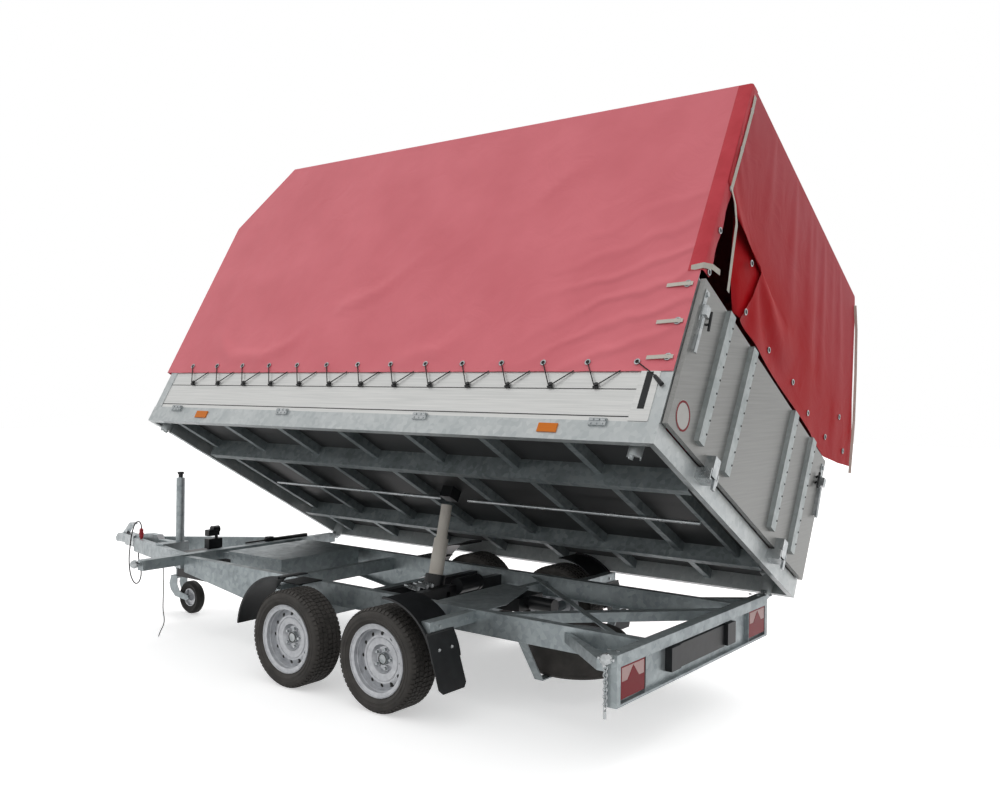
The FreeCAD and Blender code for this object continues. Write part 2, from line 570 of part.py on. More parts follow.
def slotted_rim(name, side, x, y, z):
    """A rim with a ring of round openings; a side of 0 lays it flat."""
    rim = turned(name + "_disc", RIM_OUTLINE, side, x, y, z)
    tools = []
    for index in range(12):
        turn = index * 30
        across = "131 * cos(%d deg)" % turn
        around = "131 * sin(%d deg)" % turn
        if side:
            tools.append(rod("%s_slot_%d" % (name, index), "y", "10.5", "60", "(%s) + %s" % (x, across),
                             "(%s) - 5" % y if side > 0 else "(%s) - 55" % y, "(%s) + %s" % (z, around)))
        else:
            tools.append(rod("%s_slot_%d" % (name, index), "z", "10.5", "60", "(%s) + %s" % (x, across),
                             "(%s) + %s" % (y, around), "(%s) - 5" % z))
    return cut(name, rim, tools)


def wheels():
    middle = "(wheel_out - tyre_width / 2)"
    for word, x in (("front", "axle_front_x"), ("rear", "axle_front_x - axle_spacing")):
        for name, side in SIDES:
            y = middle if side > 0 else "-" + middle
            label = word + "_" + name
            on_chassis("tyre_" + label, [turned("tyre_solid_" + label, tyre_outline(), side, x, y, "tyre_radius")])
            on_chassis("rim_" + label, [slotted_rim("rim_solid_" + label, side, x, y, "tyre_radius")])


def mudguards():
    guards = []
    flaps = []
    stays = []
    for word, side in SIDES:
        for name, x, start, sweep in (("front", "axle_front_x + guard_shift", 5, 88),
                                      ("rear", "axle_front_x - axle_spacing - guard_shift", 87, 84)):
            shells = []
            for key, radius in (("out", "guard_radius"), ("in", "guard_radius - guard_sheet")):
                shell = rod("guard_%s_%s_%s" % (key, word, name), "y", radius, "guard_width", x,
                            "wheel_out - guard_width" if side > 0 else "-wheel_out", "tyre_radius + guard_rise")
                # The sector starts ahead, level with the axle, and turns upwards and back.
                shell.Placement.Rotation = FreeCAD.Rotation(FreeCAD.Vector(0, 1, 0), 360 - start - sweep).multiply(
                    FreeCAD.Rotation(FreeCAD.Vector(1, 0, 0), -90))
                shell.Angle = sweep
                shells.append(shell)
            lip = rod("guard_lip_%s_%s" % (word, name), "y", "guard_radius + guard_lip", "16", x,
                      "wheel_out - 16" if side > 0 else "-wheel_out", "tyre_radius + guard_rise")
            lip.Placement.Rotation = shells[0].Placement.Rotation
            lip.Angle = sweep
            guards.append(cut("guard_%s_%s" % (word, name), fuse("guard_whole_%s_%s" % (word, name),
                                                                 [shells[0], lip]), shells[1:]))
        rear = "axle_front_x - axle_spacing - guard_shift"
        stay_x = rear + " - guard_radius + 40"
        inside = rod("stay_bite_" + word, "y", "guard_radius", "guard_width + 10", rear,
                     "wheel_out - guard_width - 5" if side > 0 else "-wheel_out - 5", "tyre_radius + guard_rise")
        stays.append(cut("flap_stay_" + word, box("flap_bar_" + word, (stay_x, stay_x + " + 55"),
                     both("rail_side", "wheel_out - 23", side), ("flap_top - 10", "flap_top + 48")), [inside]))
        stays.append(box("guard_stay_" + word, ("2390", "2425"), both("rail_side", "wheel_out - guard_width", side),
                         ("462", "490")))
        sheet = prism("flap_sheet_" + word, "XZ", [
            (stay_x + " - 6", "flap_top"), (stay_x, "flap_top"), (stay_x, "flap_top - 10"),
            (stay_x + " - flap_lean", "flap_low"), (stay_x + " - flap_lean - 6", "flap_low"),
            (stay_x + " - 6", "flap_top - 10")], "%d * (wheel_out - 93)" % side, "200")
        sign = "%d * " % side
        corners = [prism("flap_corner_%s_%s" % (word, edge), "YZ", [
            (sign + "(wheel_out %s)" % near, "flap_low - 1"), (sign + "(wheel_out %s)" % near, "flap_low + 22"),
            (sign + "(wheel_out %s)" % off, "flap_low - 1")], stay_x + " - flap_lean", "60")
                   for edge, near, off in (("out", "+ 8", "- 16"), ("in", "- 194", "- 170"))]
        flaps.append(cut("flap_" + word, sheet, corners))
        guards.append(box("guard_plate_" + word, ("axle_front_x + 124", "axle_front_x + 284"),
                          both("rail_side - 20", "wheel_out - guard_width", side), ("rail_top", "rail_top + 5")))
    on_chassis("mudguards", guards + flaps)
    return stays


def frame_pieces(stays):
    inner = "rail_side - sheet_steel"
    low = "rail_top - rail_depth + sheet_steel"
    members = [box("member_%d" % n, (x + " - 25", x + " + 25"), ("-(%s)" % inner, inner), (low, low + " + 76"))
               for n, x in enumerate(("1385", "member_front_x"))]
    plate = prism("pump_deck", "XY", [("1430", inner), ("1430", "-170"), ("1250", "-170"), ("1090", "266"),
                                      ("1090", inner)], "492", "4")
    skirt = box("pump_deck_skirt", ("1426", "1430"), ("-170", inner), ("467", "494"))
    on_chassis("crossmembers", members + stays + [fuse("pump_deck_all", [plate, skirt])])
    beams = []
    for word, near in (("front", 1), ("rear", -1)):
        span = ["ram_x + %d * (ram_base_radius + %d)" % (near, reach) for reach in (12, 60)]
        beams.append(cut("cradle_" + word, box("cradle_beam_" + word, sorted(span) if near > 0 else (span[1], span[0]),
                     ("-(%s)" % inner, inner), (low, low + " + 76")),
                     [rod("cradle_bore_" + word, "x", "18", "400", "ram_x - 200", "0", "ram_height")]))
    tank = rod("ram_tank", "y", "46", "200", "ram_x - ram_base_radius - 72", "-262", "462")
    collar = rod("ram_tank_collar", "y", "50", "16", "ram_x - ram_base_radius - 72", "-250", "462")
    beams[1] = fuse("cradle_tank", [beams[1], tank, collar])
    on_chassis("ram_cradle", beams)
    wide = prism("brace_wide", "XY", [("1200", inner), ("1120", inner), ("rail_rear_x", "-430"), ("rail_rear_x", "-515")],
                 "452", "50")
    thin = prism("brace_thin", "XY", [("200", inner), ("250", inner), ("1480", "-(%s)" % inner),
                                      ("1430", "-(%s)" % inner)], "480 + fit_gap", "6")
    corners = []
    for word, side in SIDES:
        sign = "%d * " % side
        corners.append(prism("corner_" + word, "XY", [
            ("560", sign + "rail_side"), ("530", sign + "rail_side"), ("rail_rear_x", sign + "(beam_side - 45)"),
            ("rail_rear_x", sign + "beam_side"), ("200", sign + "beam_side")], "455", "50"))
        corners.append(prism("gusset_" + word, "XY", [
            ("rail_rear_x", sign + "rail_side"), ("520", sign + "rail_side"),
            ("rail_rear_x", sign + "(beam_side - 50)")], "427", "4"))
    braces = [wide, thin] + corners
    lid = box("toolbox_lid", ("toolbox_rear", "toolbox_front"), ("toolbox_right", "toolbox_left"),
              ("lid_top - 16", "lid_top"))
    tub = box("toolbox_tub", ("toolbox_rear + 10", "toolbox_front - 10"), ("toolbox_right + 10", "toolbox_left - 10"),
              ("400", "lid_top - 16"))
    lugs = [box("toolbox_lug_%d" % n, ("toolbox_front - 10", "rail_front_x"), (y, y + " + 40"), ("460", "500"))
            for n, y in enumerate(("-400", "180"))]
    on_chassis("toolbox", [fuse("toolbox_all", [lid, tub] + lugs)])
    on_chassis("battery_box", [box("battery_box_solid", ("arm_rear_x", "battery_front_x"), ("20", "300"),
                                   ("300", "470"))])
    foot = "rail_top - rail_depth"
    braces.append(prism("spare_strap", "YZ", [
        ("-500", foot), ("-460", foot), ("-305", "spare_low"), ("305", "spare_low"), ("460", foot), ("500", foot),
        ("500", foot + " - 6"), ("465", foot + " - 6"), ("308", "spare_low - 6"), ("-308", "spare_low - 6"),
        ("-465", foot + " - 6"), ("-500", foot + " - 6")], "spare_x + 35", "50"))
    on_chassis("frame_braces", braces)
    unit = box("pump_body", ("1180", "1360"), ("-200", "30"), ("398", "470"))
    motor = rod("pump_motor", "x", "38", "160", "1020", "-85", "434")
    on_chassis("hydraulic_unit", [fuse("pump", [unit, motor])])
    lever = box("lever_bar", ("arm_rear_x - 8", "arm_rear_x + 16"), ("-590", "-200"),
                ("front_beam_top", "front_beam_top + 20"))
    grip = rod("lever_grip", "y", "7", "170", "arm_rear_x + 4", "-200", "front_beam_top + 9")
    saddle = box("lever_saddle", ("arm_rear_x - 16", "arm_rear_x + 22"), ("-262", "-214"),
                 ("front_beam_top - 12", "front_beam_top + 32"))
    on_chassis("pump_lever", [cut("lever_cut", fuse("lever_all", [lever, grip, saddle]),
                                  [box("lever_seat", ("rail_front_x", "arm_rear_x"), ("-700", "0"),
                                       ("front_beam_low", "front_beam_top"))])])
    arm = box("cable_arm", ("arm_rear_x", "bed_length + 46"), ("130", "215"), ("485", "506"))
    foot = box("cable_foot", ("bed_length + 16", "bed_length + 66"), ("112", "224"), ("506", "572"))
    post = rod("cable_post", "z", "11", "40", "bed_length + 40", "146", "560")
    head = box("cable_rest", ("bed_length + 16", "bed_length + 60"), ("136", "226"), ("592", "634"))
    knob = rod("cable_knob", "y", "24", "56", "bed_length + 38", "130", "634")
    on_chassis("plug_rest", [fuse("plug_rest_all", [arm, foot, post, head, knob])])


def bed_fittings():
    rods = [rod("lock_rod_%d" % n, "x", "9", length, x, "-15", "floor_top - floor_sheet - cross_depth - 9")
            for n, (x, length) in enumerate((("190", "1500"), ("1900", "1500")))]
    hinges = [box("board_hinge_%s_%d" % (word, n), (x + " - 45", x + " + 45"), both(HALF, HALF + " + 12", side),
                  ("edge_height - 28", "edge_height + 8")) for word, side in SIDES
              for n, x in enumerate(("300", "1350", "2400", "bed_length - 254"))]
    on_bed("bed_hardware", rods + hinges)
    marks = [box("reflector_%s_%d" % (word, n), (x, x + " + 105"), both(HALF, HALF + " + 6", side), ("33", "78"))
             for word, side in SIDES for n, x in enumerate(("507", "bed_length - 576"))]
    on_bed("side_reflectors", marks)


def ram():
    low, high = "-ram_base_low", "ram_base_top"
    bore = "stage_1_radius + ram_gap"
    base = cut("ram_base_solid", rod("ram_base_out", "z", "ram_base_radius", "ram_base_low + ram_base_top", "0", "0", low),
               [rod("ram_base_in", "z", bore, "ram_base_low + ram_base_top", "0", "0", low + " + 12")])
    trunnion = rod("ram_trunnion", "x", "17.9", "190", "-95", "0", "0")
    hollow = rod("ram_trunnion_hollow", "z", bore, "60", "0", "0", "-30")
    on_ram("ram_base", [fuse("ram_base_all", [base, cut("ram_trunnions", trunnion, [hollow])])])
    stage_1 = cut("ram_stage_1_solid", rod("ram_stage_1_out", "z", "stage_1_radius", "stage_1_length", "0", "0",
                  "stage_1_top - stage_1_length"), [rod("ram_stage_1_in", "z", "stage_2_radius + ram_gap",
                  "stage_1_length", "0", "0", "stage_1_top - stage_1_length - 1"),
                  rod("ram_stage_1_top_in", "z", "stage_2_radius + ram_gap", "20", "0", "0", "stage_1_top - 10")])
    on_ram("ram_stage_1", [stage_1])
    stage_2 = rod("ram_stage_2_solid", "z", "stage_2_radius", "stage_2_length", "0", "0",
                  "stage_2_top - stage_2_length")
    on_ram("ram_stage_2", [stage_2])


# BED, laid out flat with its underside at z 0.
HALF = "bed_width / 2"


def bed_frame():
    sides = [box("edge_" + word, ("0", "bed_length"), both(HALF + " - edge_width", HALF, side), ("0", "edge_height"))
             for word, side in SIDES]
    inner = HALF + " - edge_width"
    ends = [box("edge_rear", ("0", "edge_width"), ("-(%s)" % inner, inner), ("0", "edge_height")),
            box("edge_front", ("bed_length - edge_width", "bed_length"), ("-(%s)" % inner, inner),
                ("0", "edge_height"))]
    on_bed("bed_edge", [fuse("edge_frame", sides + ends)])
    on_bed("bed_floor", [box("floor_sheet_solid", ("edge_width", "bed_length - edge_width"), ("-(%s)" % inner, inner),
                             ("floor_top - floor_sheet", "floor_top"))])
    under = "floor_top - floor_sheet"
    longs = []
    for word, side in SIDES:
        parts = [box("long_web_" + word, ("edge_width", "rail_front_x - 8"),
                     both("long_side", "long_side + sheet_steel", side), (under + " - long_height", under)),
                 box("long_foot_" + word, ("edge_width", "rail_front_x - 8"),
                     both("long_side - long_flange", "long_side + sheet_steel", side),
                     (under + " - long_height", under + " - long_height + sheet_steel"))]
        longs.append(fuse("long_" + word, parts))
    on_bed("bed_longitudinals", longs)
    crosses = []
    for index in range(7):
        x = "cross_first + %d * cross_pitch" % index if index < 6 else "bed_length - 165"
        for word, low, high in (("left", "long_side + sheet_steel", inner),
                                ("mid", "-long_side", "long_side"),
                                ("right", "-(%s)" % inner, "-long_side - sheet_steel")):
            crosses.append(box("cross_%d_%s" % (index, word), (x + " - cross_width / 2", x + " + cross_width / 2"),
                               (low, high), (under + " - cross_depth", under)))
    crosses.append(box("cross_rear", ("165", "190"), ("-long_side", "long_side"), (under + " - cross_depth", under)))
    on_bed("bed_crossmembers", crosses)
    on_bed("ram_seat", [box("ram_seat_solid", ("ram_x - 42", "ram_x + 42"), ("-42", "42"), ("24", under))])


def bed_sockets():
    sockets = []
    drop = RISE
    for word, side in SIDES:
        for name, x in (("rear", "ball_rear_x"), ("front", "ball_front_x")):
            label = "%s_%s" % (word, name)
            y = "pivot_side" if side > 0 else "-pivot_side"
            tube = rod("socket_tube_" + label, "z", "socket_radius", drop + " + floor_top - floor_sheet", x, y, "-" + drop)
            cup = ball("socket_cup_" + label, "tipping_ball + ball_gap", x, y, "-" + drop)
            notch = box("socket_notch_" + label, (x + " - 18", x + " + 18"),
                        both("0", "pivot_side", side), ("-%s - 1" % drop, "-%s + 19" % drop))
            slot = rod("socket_slot_" + label, "x", "6 + ball_gap", "100", x + " - 50", y, "-" + drop)
            pad = box("socket_pad_" + label, (x + " - 40", x + " + 40"), both("pivot_side - 40", "pivot_side + 40", side),
                      ("floor_top - floor_sheet - 14", "floor_top - floor_sheet"))
            sockets.append(cut("socket_" + label, fuse("socket_body_" + label, [tube, pad]), [cup, notch, slot]))
    on_bed("bed_sockets", sockets)


def chain():
    links = []
    for index in range(12):
        link = doc.addObject("Part::Torus", "chain_link_%d" % index)
        link.Placement = FreeCAD.Placement(FreeCAD.Vector(), AXIS_TURN["x" if index % 2 else "y"])
        bind(link, Radius1="link_radius", Radius2="link_wire")
        links.append(place(link, "rail_rear_x - 12", "beam_side + 14",
                           "rear_beam_low + 8 - link_radius - %d * link_pitch" % index))
    pin = rod("chain_pin", "z", "7", "34", "rail_rear_x - 12", "beam_side + 14",
              "rear_beam_low - link_radius - 12 * link_pitch - 22")
    lug = box("chain_lug", ("rail_rear_x - 20", "rail_rear_x - 4"), ("beam_side", "beam_side + 24"),
              ("rear_beam_low + 4", "rear_beam_low + 16"))
    on_chassis("safety_chain", [fuse("chain", links + [pin, lug])])


def tipping_balls():
    balls = []
    for word, side in SIDES:
        for name, x in (("rear", "ball_rear_x"), ("front", "ball_front_x")):
            label = "%s_%s" % (word, name)
            sphere = ball("tip_ball_" + label, "tipping_ball", x, "pivot_side" if side > 0 else "-pivot_side",
                          "pivot_height")
            stub = rod("tip_stub_" + label, "y", "13", "pivot_side - beam_side", x,
                       "beam_side" if side > 0 else "-pivot_side", "pivot_height - 3")
            ears = rod("tip_ears_" + label, "x", "6", "76", x + " - 38", "pivot_side" if side > 0 else "-pivot_side",
                       "pivot_height")
            balls.append(fuse("tip_" + label, [sphere, stub, ears]))
    on_chassis("tipping_balls", balls)


def walls():
    top = "edge_height + wall_height"
    posts = [box("post_%s_%s" % (word, name), x, both(HALF + " - post_inset - post", HALF + " - post_inset", side), ("edge_height", top))
             for word, side in SIDES
             for name, x in (("rear", ("0", "post")), ("front", ("bed_length - post", "bed_length")))]
    on_bed("corner_posts", posts)
    boards = [box("board_" + word, ("post", "bed_length - post"), both(HALF + " - 8 - board", HALF + " - 8", side),
                  ("edge_height", top)) for word, side in SIDES]
    on_bed("wall_boards", boards + [box("front_board", ("bed_length - 10 - board", "bed_length - 10"),
                              ("-(%s - post_inset - post)" % HALF, HALF + " - post_inset - post"), ("edge_height", top))])


def gate():
    top = "edge_height + wall_height"
    rear = "-gate_gap - gate_thick"
    panel = box("gate_board", (rear, "-gate_gap"), ("-(%s - 12)" % HALF, HALF + " - 12"), ("edge_height + 4", top))
    on_bed("gate_panel", [panel])
    stiffs = [box("stiff_%s_%s" % (word, name), (rear + " - stiff_depth", rear),
                  both(y + " - stiff_width / 2", y + " + stiff_width / 2", side), ("edge_height + 55", top + " - 6"))
              for word, side in SIDES for name, y in (("in", "stiff_inner"), ("out", "stiff_outer"))]
    on_bed("gate_stiffeners", stiffs)
    leaves = []
    eyes = []
    for word, side in SIDES:
        y = "(stiff_inner + stiff_outer) / 2"
        leaf = box("leaf_" + word, ("-gate_hinge_x - 14", rear), both(y + " - 30", y + " + 30", side),
                   ("gate_hinge_z + 16", "edge_height + 60"))
        knuckle = box("knuckle_" + word, ("-gate_hinge_x - 14", "-gate_hinge_x + 14"),
                      both(y + " - 30", y + " + 30", side), ("gate_hinge_z - 16", "gate_hinge_z + 16"))
        bore = rod("knuckle_bore_" + word, "y", "hinge_pin + hub_gap", "100", "-gate_hinge_x",
                   "%s - 50" % y if side > 0 else "-(%s) - 50" % y, "gate_hinge_z")
        leaves.append(cut("gate_leaf_" + word, fuse("leaf_all_" + word, [leaf, knuckle]), [bore]))
        ears = [box("ear_%s_%s" % (word, name), ("-gate_hinge_x - 14", "0"), both(y + low, y + high, side),
                    ("gate_hinge_z - 33", "gate_hinge_z + 16"))
                for name, low, high in (("in", " - 44", " - 36"), ("out", " + 36", " + 44"))]
        pin = rod("gate_pin_" + word, "y", "hinge_pin", "88", "-gate_hinge_x",
                  "%s - 44" % y if side > 0 else "-(%s) - 44" % y, "gate_hinge_z")
        bridge = box("ear_bridge_" + word, ("-gate_hinge_x - 14", "0"), both(y + " - 44", y + " + 44", side),
                     ("gate_hinge_z - 37", "gate_hinge_z - 28"))
        lever = box("lock_lever_" + word, ("-gate_hinge_x - 26", "-gate_hinge_x - 14"),
                    both(y + " - 13", y + " + 13", side), ("gate_hinge_z - 76", "gate_hinge_z - 28"))
        eyes.append(fuse("gate_eye_" + word, ears + [pin, bridge, lever]))
    latches = []
    for word, side in SIDES:
        stem = box("latch_stem_" + word, (rear + " - 14", rear), both(HALF + " - 62", HALF + " - 40", side),
                   (top + " - 360", top + " - 120"))
        grip = box("latch_grip_" + word, (rear + " - 34", rear), both(HALF + " - 68", HALF + " - 34", side),
                   (top + " - 180", top + " - 130"))
        latches.append(fuse("latch_" + word, [stem, grip]))
    on_bed("gate_latches", latches)
    on_bed("gate_leaves", leaves)
    on_bed("gate_eyes", eyes)


def cover():
    roof_front = "bed_length + cover_overhang"
    outer = prism("cover_out", "XZ", [
        ("cover_rear_x", "cover_hem"), (roof_front, "cover_hem"), (roof_front, "cover_top - cover_bevel_drop"),
        ("cover_bevel_x", "cover_top"), ("cover_rear_x", "cover_top")], "0", "bed_width - 2")
    inner = prism("cover_in", "XZ", [
        ("cover_rear_x - 10", "cover_hem - 10"), (roof_front + " - cover_cloth", "cover_hem - 10"),
        (roof_front + " - cover_cloth", "cover_top - cover_bevel_drop - cover_cloth / 2"),
        ("cover_bevel_x - cover_cloth / 2", "cover_top - cover_cloth"),
        ("cover_rear_x - 10", "cover_top - cover_cloth")], "0", "bed_width - 2 - 2 * cover_cloth")
    on_bed("cover", [cut("cover_shell", outer, [inner])])
    # The loose right side hangs plumb while the bed is tipped, clear of the wall.
    curtain = prism("curtain_sheet", "YZ", [
        (HALF, "cover_top"), ("-(%s)" % HALF, "cover_top"), ("-(%s) - 73" % HALF, "cover_top - 131"),
        ("202 - curtain_reach", "curtain_corner + 365"), ("-curtain_reach", "curtain_corner"),
        ("259 - curtain_reach", "curtain_hem + 77"), ("-932", "curtain_hem"), ("-417", "curtain_hem + 19"),
        ("200", "curtain_hem + 5"), ("515", "curtain_hem + 19"), ("438", "curtain_hem + 202"),
        ("397", "curtain_hem + 386"), ("771", "curtain_hem + 428"), (HALF, "curtain_hem + 500")],
        "cover_rear_x - fit_gap - cover_cloth / 2", "cover_cloth")
    on_bed("rear_curtain", [curtain])
    bows = []
    for index, x in enumerate(("40", "bed_length / 3", "bed_length * 2 / 3", "cover_bevel_x - 25")):
        first = index == 0
        side_face = HALF + " - 20" if first else HALF + " - 8 - board - fit_gap"
        foot = "edge_height + wall_height" if first else "floor_top + fit_gap"
        legs = [box("bow_%d_%s" % (index, word), (x + " - 15", x + " + 15"),
                    both(side_face + " - 25", side_face, side), (foot, "cover_top - cover_cloth - fit_gap"))
                for word, side in SIDES]
        beam = box("bow_%d_top" % index, (x + " - 15", x + " + 15"), ("-(%s)" % side_face, side_face),
                   ("cover_top - cover_cloth - fit_gap - 30", "cover_top - cover_cloth - fit_gap"))
        bows.append(fuse("bow_%d" % index, legs + [beam]))
    on_bed("cover_bows", bows)


def spare():
    z = "spare_low + tyre_width / 2"
    tyre = turned("spare_tyre_solid", tyre_outline(), 0, "spare_x", "0", z)
    rim = slotted_rim("spare_rim_solid", 0, "spare_x", "0", z)
    on_chassis("spare_tyre", [tyre])
    on_chassis("spare_rim", [rim])


main_rails()
crossbeams()
valance()
arms = drawbar()
coupling()
cords(arms)
jockey(arms)
axles()
wheels()
ram()
tipping_balls()
chain()
bed_frame()
bed_sockets()
walls()
gate()
cover()
spare()
frame_pieces(mudguards())
bed_fittings()

doc.recompute()
faults = []
for piece in doc.Objects:
    if any(word in piece.State for word in ("Invalid", "Error")):
        faults.append("%s: %s" % (piece.Name, piece.State))
for node in NODES:
    if node.Shape.isNull() or not node.Shape.isValid():
        faults.append("%s: bad shape" % node.Label)
if faults:
    raise SystemExit("\n".join(faults))

os.makedirs("parts", exist_ok=True)
for node in NODES:
    node.Shape.exportStep("parts/%s.step" % node.Label)
    box_of = node.Shape.BoundBox
    print("%-18s %2d solids %9.0f cm3  x %6.0f %6.0f  y %6.0f %6.0f  z %6.0f %6.0f" % (
        node.Label, len(node.Shape.Solids), node.Shape.Volume / 1000, box_of.XMin, box_of.XMax,
        box_of.YMin, box_of.YMax, box_of.ZMin, box_of.ZMax))
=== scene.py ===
# %% [markdown]
# A three-way tipping trailer with a covered bed, dressed for a studio picture. The construction comes
# in as a fixed frame, and this notebook adds the looks: zinc, cloth, rubber, lamps and small fittings.

# %% Load the frame
import bpy
import bmesh
import json
import math
from mathutils import Matrix, Vector


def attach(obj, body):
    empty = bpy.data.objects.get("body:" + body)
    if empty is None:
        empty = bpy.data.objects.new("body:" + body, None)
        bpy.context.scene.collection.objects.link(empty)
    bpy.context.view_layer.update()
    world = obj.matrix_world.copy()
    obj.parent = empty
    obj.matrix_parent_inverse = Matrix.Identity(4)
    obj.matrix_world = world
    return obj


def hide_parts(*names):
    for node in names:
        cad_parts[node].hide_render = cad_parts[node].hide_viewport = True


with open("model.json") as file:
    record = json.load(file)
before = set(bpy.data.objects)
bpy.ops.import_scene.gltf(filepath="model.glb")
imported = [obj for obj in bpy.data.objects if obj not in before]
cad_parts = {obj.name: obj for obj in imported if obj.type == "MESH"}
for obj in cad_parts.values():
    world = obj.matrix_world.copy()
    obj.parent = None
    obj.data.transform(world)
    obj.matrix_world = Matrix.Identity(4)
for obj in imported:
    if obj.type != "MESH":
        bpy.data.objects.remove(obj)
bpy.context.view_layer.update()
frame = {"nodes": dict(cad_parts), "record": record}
node_of = frame["nodes"]

# %% [markdown]
# The trailer was laid out in workshop coordinates: x forward from the bed's rear end, y to the left
# from the middle, z up from the ground. The frame's origin is the tow ball's socket, so a point of the
# workshop is moved by that one offset. The bed's fittings could be typed where they are in the air,
# but nobody can check such numbers. They are given on the flat bed instead, z up from its underside,
# and one matrix tips them about the right-hand balls.

# %% Workshop and bed coordinates
BALL = Vector((5.030, 0.0, 0.420))
TILT = math.radians(28.77)
PIVOT_SIDE = 0.863
PIVOT_HEIGHT = 0.497
BED_FLAT = 0.528
BED_LENGTH = 3.654
HALF = 1.907 / 2
EDGE_HEIGHT = 0.101
WALL_TOP = EDGE_HEIGHT + 0.744
COVER_TOP = 2.013
COVER_HEM = 0.355
COVER_FRONT = BED_LENGTH + 0.046
BEVEL_START = BED_LENGTH - 0.271
BEVEL_DROP = 0.485
GROUND = -BALL.z

SHOP = Matrix.Translation(-BALL)
BED = (SHOP @ Matrix.Translation((0, -PIVOT_SIDE, PIVOT_HEIGHT))
       @ Matrix.Rotation(TILT, 4, "X") @ Matrix.Translation((0, PIVOT_SIDE, BED_FLAT - PIVOT_HEIGHT)))
print("bed's front left corner stands at", [round(value, 3) for value in BED @ Vector((BED_LENGTH, HALF, 0))])

# %% [markdown]
# The camera stands where the photographer stood, behind the trailer and to its left, at eye height.
# Its place, direction and lens come from a fit of the bed's corners and the wheels. A camera could be
# aimed at a point with a constraint, but that leaves out the small roll of a hand-held one. So its turn
# is built from the direction of view and a level line across it, which are then rolled.

# %% Camera
CAMERA_PLACE = Vector((-1.9613, 4.3973, 1.6015))
CAMERA_YAW = -53.0115
CAMERA_PITCH = -0.5091
CAMERA_ROLL = 0.7494
FOCAL_PX = 979.458
IMAGE_WIDE = 1000
SENSOR_MM = 36.0

camera_data = bpy.data.cameras.new("camera")
camera_data.sensor_width = SENSOR_MM
camera_data.lens = FOCAL_PX * SENSOR_MM / IMAGE_WIDE
camera_data.clip_end = 200
camera = bpy.data.objects.new("camera", camera_data)
bpy.context.collection.objects.link(camera)
yaw, pitch, roll = (math.radians(angle) for angle in (CAMERA_YAW, CAMERA_PITCH, CAMERA_ROLL))
forward = Vector((math.cos(pitch) * math.cos(yaw), math.cos(pitch) * math.sin(yaw), math.sin(pitch)))
level = forward.cross(Vector((0, 0, 1))).normalized()
above = level.cross(forward)
right = math.cos(roll) * level + math.sin(roll) * above
up = -math.sin(roll) * level + math.cos(roll) * above
place = Matrix((right, up, -forward)).transposed().to_4x4()
place.translation = SHOP @ CAMERA_PLACE
camera.matrix_world = place
bpy.context.scene.camera = camera
print("lens", round(camera_data.lens, 2), "mm")

# %% [markdown]
# Colours are picked as screen values, but the renderer works with amounts of light. A screen value
# isn't in proportion to light, so each colour is turned with the usual curve first.

# %% Screen colours to light
def linear(hex_colour):
    """A screen colour such as "c02030" as linear red, green, blue and full alpha."""
    values = [int(hex_colour[index:index + 2], 16) / 255 for index in (0, 2, 4)]
    return tuple(value / 12.92 if value <= 0.04045 else ((value + 0.055) / 1.055) ** 2.4
                 for value in values) + (1.0,)


print("a middle grey gives", round(linear("808080")[0], 3), "of white's light")

# %% [markdown]
# A finish is a small graph of shader nodes around one main shader. Writing each link by hand is long,
# so one helper adds a node with its settings and links, and it works the same for every node.

# %% Node helpers
def feed(tree, node, **inputs):
    """Links each input that is given as a socket, and sets any other; _0 is the first input."""
    for name, value in inputs.items():
        socket = node.inputs[int(name[1:])] if name[1:].isdigit() else node.inputs[name.replace("_", " ")]
        if isinstance(value, bpy.types.NodeSocket):
            tree.links.new(value, socket)
        else:
            socket.default_value = value


def add(tree, kind, settings=None, **inputs):
    """Adds a shader node with its settings and its inputs."""
    node = tree.nodes.new("ShaderNode" + kind)
    for name, value in (settings or {}).items():
        setattr(node, name, value)
    feed(tree, node, **inputs)
    return node


def blank(name):
    """A new material with its node tree and its main shader."""
    material = bpy.data.materials.new(name)
    material.use_nodes = True
    tree = material.node_tree
    return material, tree, tree.nodes["Principled BSDF"]


print("materials before the first finish", len(bpy.data.materials))

# %% [markdown]
# No real surface is one flat colour. A painted picture could vary it, but it would show seams and a
# limit of size, and noise has neither. Soft noise, at a size in millimetres, moves between two close
# colours, and most of a noise lies in its middle range, so that range is spread first. Ribs and weave
# are even bands instead: a wave texture with a scale of 1 repeats every tenth of pi metres.

# %% Patterns
MIDDLE_RANGE = {"_1": 0.3, "_2": 0.7}
BAND_REPEAT = 0.1 * math.pi


def patches(tree, size_mm):
    """Soft patches of about a size in millimetres, as a value around 0.5."""
    place = add(tree, "TexCoord").outputs["Object"]
    return add(tree, "TexNoise", Vector=place, Scale=1000 / size_mm, Detail=3.0).outputs["Fac"]


def mottled(tree, pattern, dark, light):
    """A colour that follows a pattern's middle range between two screen colours."""
    spread = add(tree, "MapRange", _0=pattern, **MIDDLE_RANGE, _3=0.0, _4=1.0).outputs["Result"]
    mix = add(tree, "Mix", {"data_type": "RGBA"}, _0=spread, _6=linear(dark), _7=linear(light))
    return mix.outputs[2]


def band_scale(period_mm):
    """The scale of a wave texture whose bands repeat every period."""
    return 1000 * BAND_REPEAT / period_mm


print("bands of 6 mm need a scale of", round(band_scale(6), 1))

# %% [markdown]
# Hot-dip zinc cools into flat crystals, so the steel frame is a patchwork of slightly different greys
# with a soft shine. Noise alone would look like clouds, and crystals have edges, so Voronoi cells of
# about 25 mm give the crystals, and a wide noise the duller areas.

# %% Zinc finishes
CRYSTAL_MM = 25
CLOUD_MM = 190
SHINE_MM = 60


